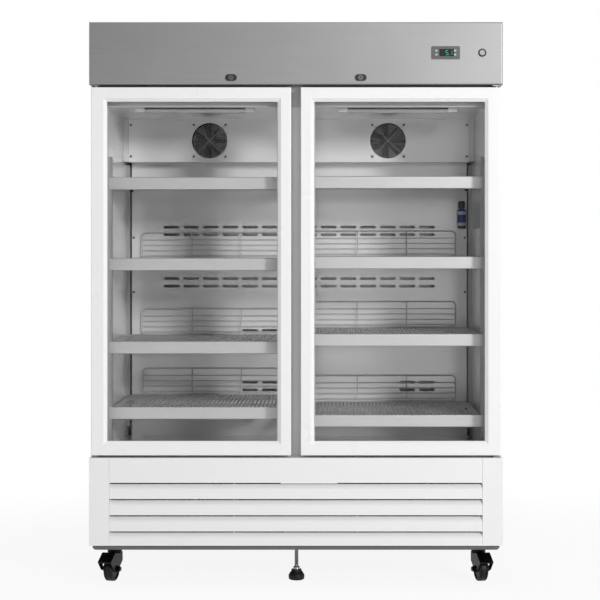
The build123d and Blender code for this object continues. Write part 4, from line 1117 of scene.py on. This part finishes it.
FLOOR_HALF = 14.0
floor_mesh = bpy.data.meshes.new("studio_floor")
floor_corners = [(x * FLOOR_HALF, y * FLOOR_HALF, 0.0) for x, y in ((-1, -1), (1, -1), (1, 1), (-1, 1))]
floor_mesh.from_pydata(floor_corners, [], [(0, 1, 2, 3)])
floor = bpy.data.objects.new("studio_floor", floor_mesh)
floor_mesh.materials.append(pale_floor())
scene.collection.objects.link(floor)

WORLD_LIGHT = 0.46


def studio_world():
    """Even light from all round, and plain white where camera, mirror or glass look past the object."""
    world = bpy.data.worlds.new("studio")
    world.use_nodes = True
    nodes, links = world.node_tree.nodes, world.node_tree.links
    nodes.clear()
    output = nodes.new("ShaderNodeOutputWorld")
    mix = nodes.new("ShaderNodeMixShader")
    path = nodes.new("ShaderNodeLightPath")
    share = None
    for ray in ("Is Camera Ray", "Is Glossy Ray", "Is Transmission Ray"):
        if share is None:
            share = path.outputs[ray]
            continue
        larger = nodes.new("ShaderNodeMath")
        larger.operation = "MAXIMUM"
        links.new(share, larger.inputs[0])
        links.new(path.outputs[ray], larger.inputs[1])
        share = larger.outputs[0]
    links.new(share, mix.inputs[0])
    for socket, strength in ((1, WORLD_LIGHT), (2, 1.0)):
        background = nodes.new("ShaderNodeBackground")
        background.inputs["Color"].default_value = (1.0, 1.0, 1.0, 1.0)
        background.inputs["Strength"].default_value = strength
        links.new(background.outputs[0], mix.inputs[socket])
    links.new(mix.outputs[0], output.inputs["Surface"])
    return world


scene.world = studio_world()


def dark_card(name, x_low, x_high, y, height):
    """A dark upright card behind the camera's place, which shades what mirrors that side of the room."""
    mesh = bpy.data.meshes.new(name)
    corners = [(x_low, y, 0.0), (x_low, y, height), (x_high, y, height), (x_high, y, 0.0)]
    mesh.from_pydata(corners, [], [(0, 1, 2, 3)])
    mesh.materials.append(card_cloth)
    card = bpy.data.objects.new(name, mesh)
    card.visible_camera = False
    scene.collection.objects.link(card)


card_cloth = moulded("card_cloth", 40, 0.9)
dark_card("dark_card", -11.0, -0.7, -7.5, 6.0)


def soft_lamp(name, place, target, width, height, power):
    """A rectangular lamp that faces a point."""
    lamp = bpy.data.lights.new(name, "AREA")
    lamp.shape = "RECTANGLE"
    lamp.size = width
    lamp.size_y = height
    lamp.energy = power
    lamp_object = bpy.data.objects.new(name, lamp)
    scene.collection.objects.link(lamp_object)
    away = np.asarray(place) - np.asarray(target)
    distance = np.linalg.norm(away)
    lamp_object.location = place
    lamp_object.rotation_euler = (
        math.acos(away[2] / distance),
        0.0,
        math.atan2(away[1], away[0]) + math.pi / 2,
    )


soft_lamp("key_lamp", (3.62, -6.24, 2.55), (0.0, -0.3, 0.8), 0.95, 0.95, 262.0)
soft_lamp("fill_lamp", (-3.0, -4.6, 0.9), (0.0, -0.3, 0.8), 2.4, 2.4, 23.0)
soft_lamp("top_lamp", (0.0, -1.0, 4.2), (0.0, 0.0, 0.8), 3.0, 3.0, 4.0)

CAMERA_PLACE = (0.100, -5.571, 0.977)
FOCAL_PIXELS = 1722.0
IMAGE_SIZE = 600.0
PRINCIPAL_X = 329.0
PRINCIPAL_Y = 262.0
camera_data = bpy.data.cameras.new("camera")
camera_data.sensor_width = 36.0
camera_data.lens = FOCAL_PIXELS / IMAGE_SIZE * camera_data.sensor_width
camera_data.shift_x = (IMAGE_SIZE / 2 - PRINCIPAL_X) / IMAGE_SIZE
camera_data.shift_y = (PRINCIPAL_Y - IMAGE_SIZE / 2) / IMAGE_SIZE
camera = bpy.data.objects.new("camera", camera_data)
camera.location = CAMERA_PLACE
camera.rotation_euler = (math.pi / 2, 0.0, 0.0)
scene.collection.objects.link(camera)
scene.camera = camera

scene.view_settings.view_transform = "Standard"
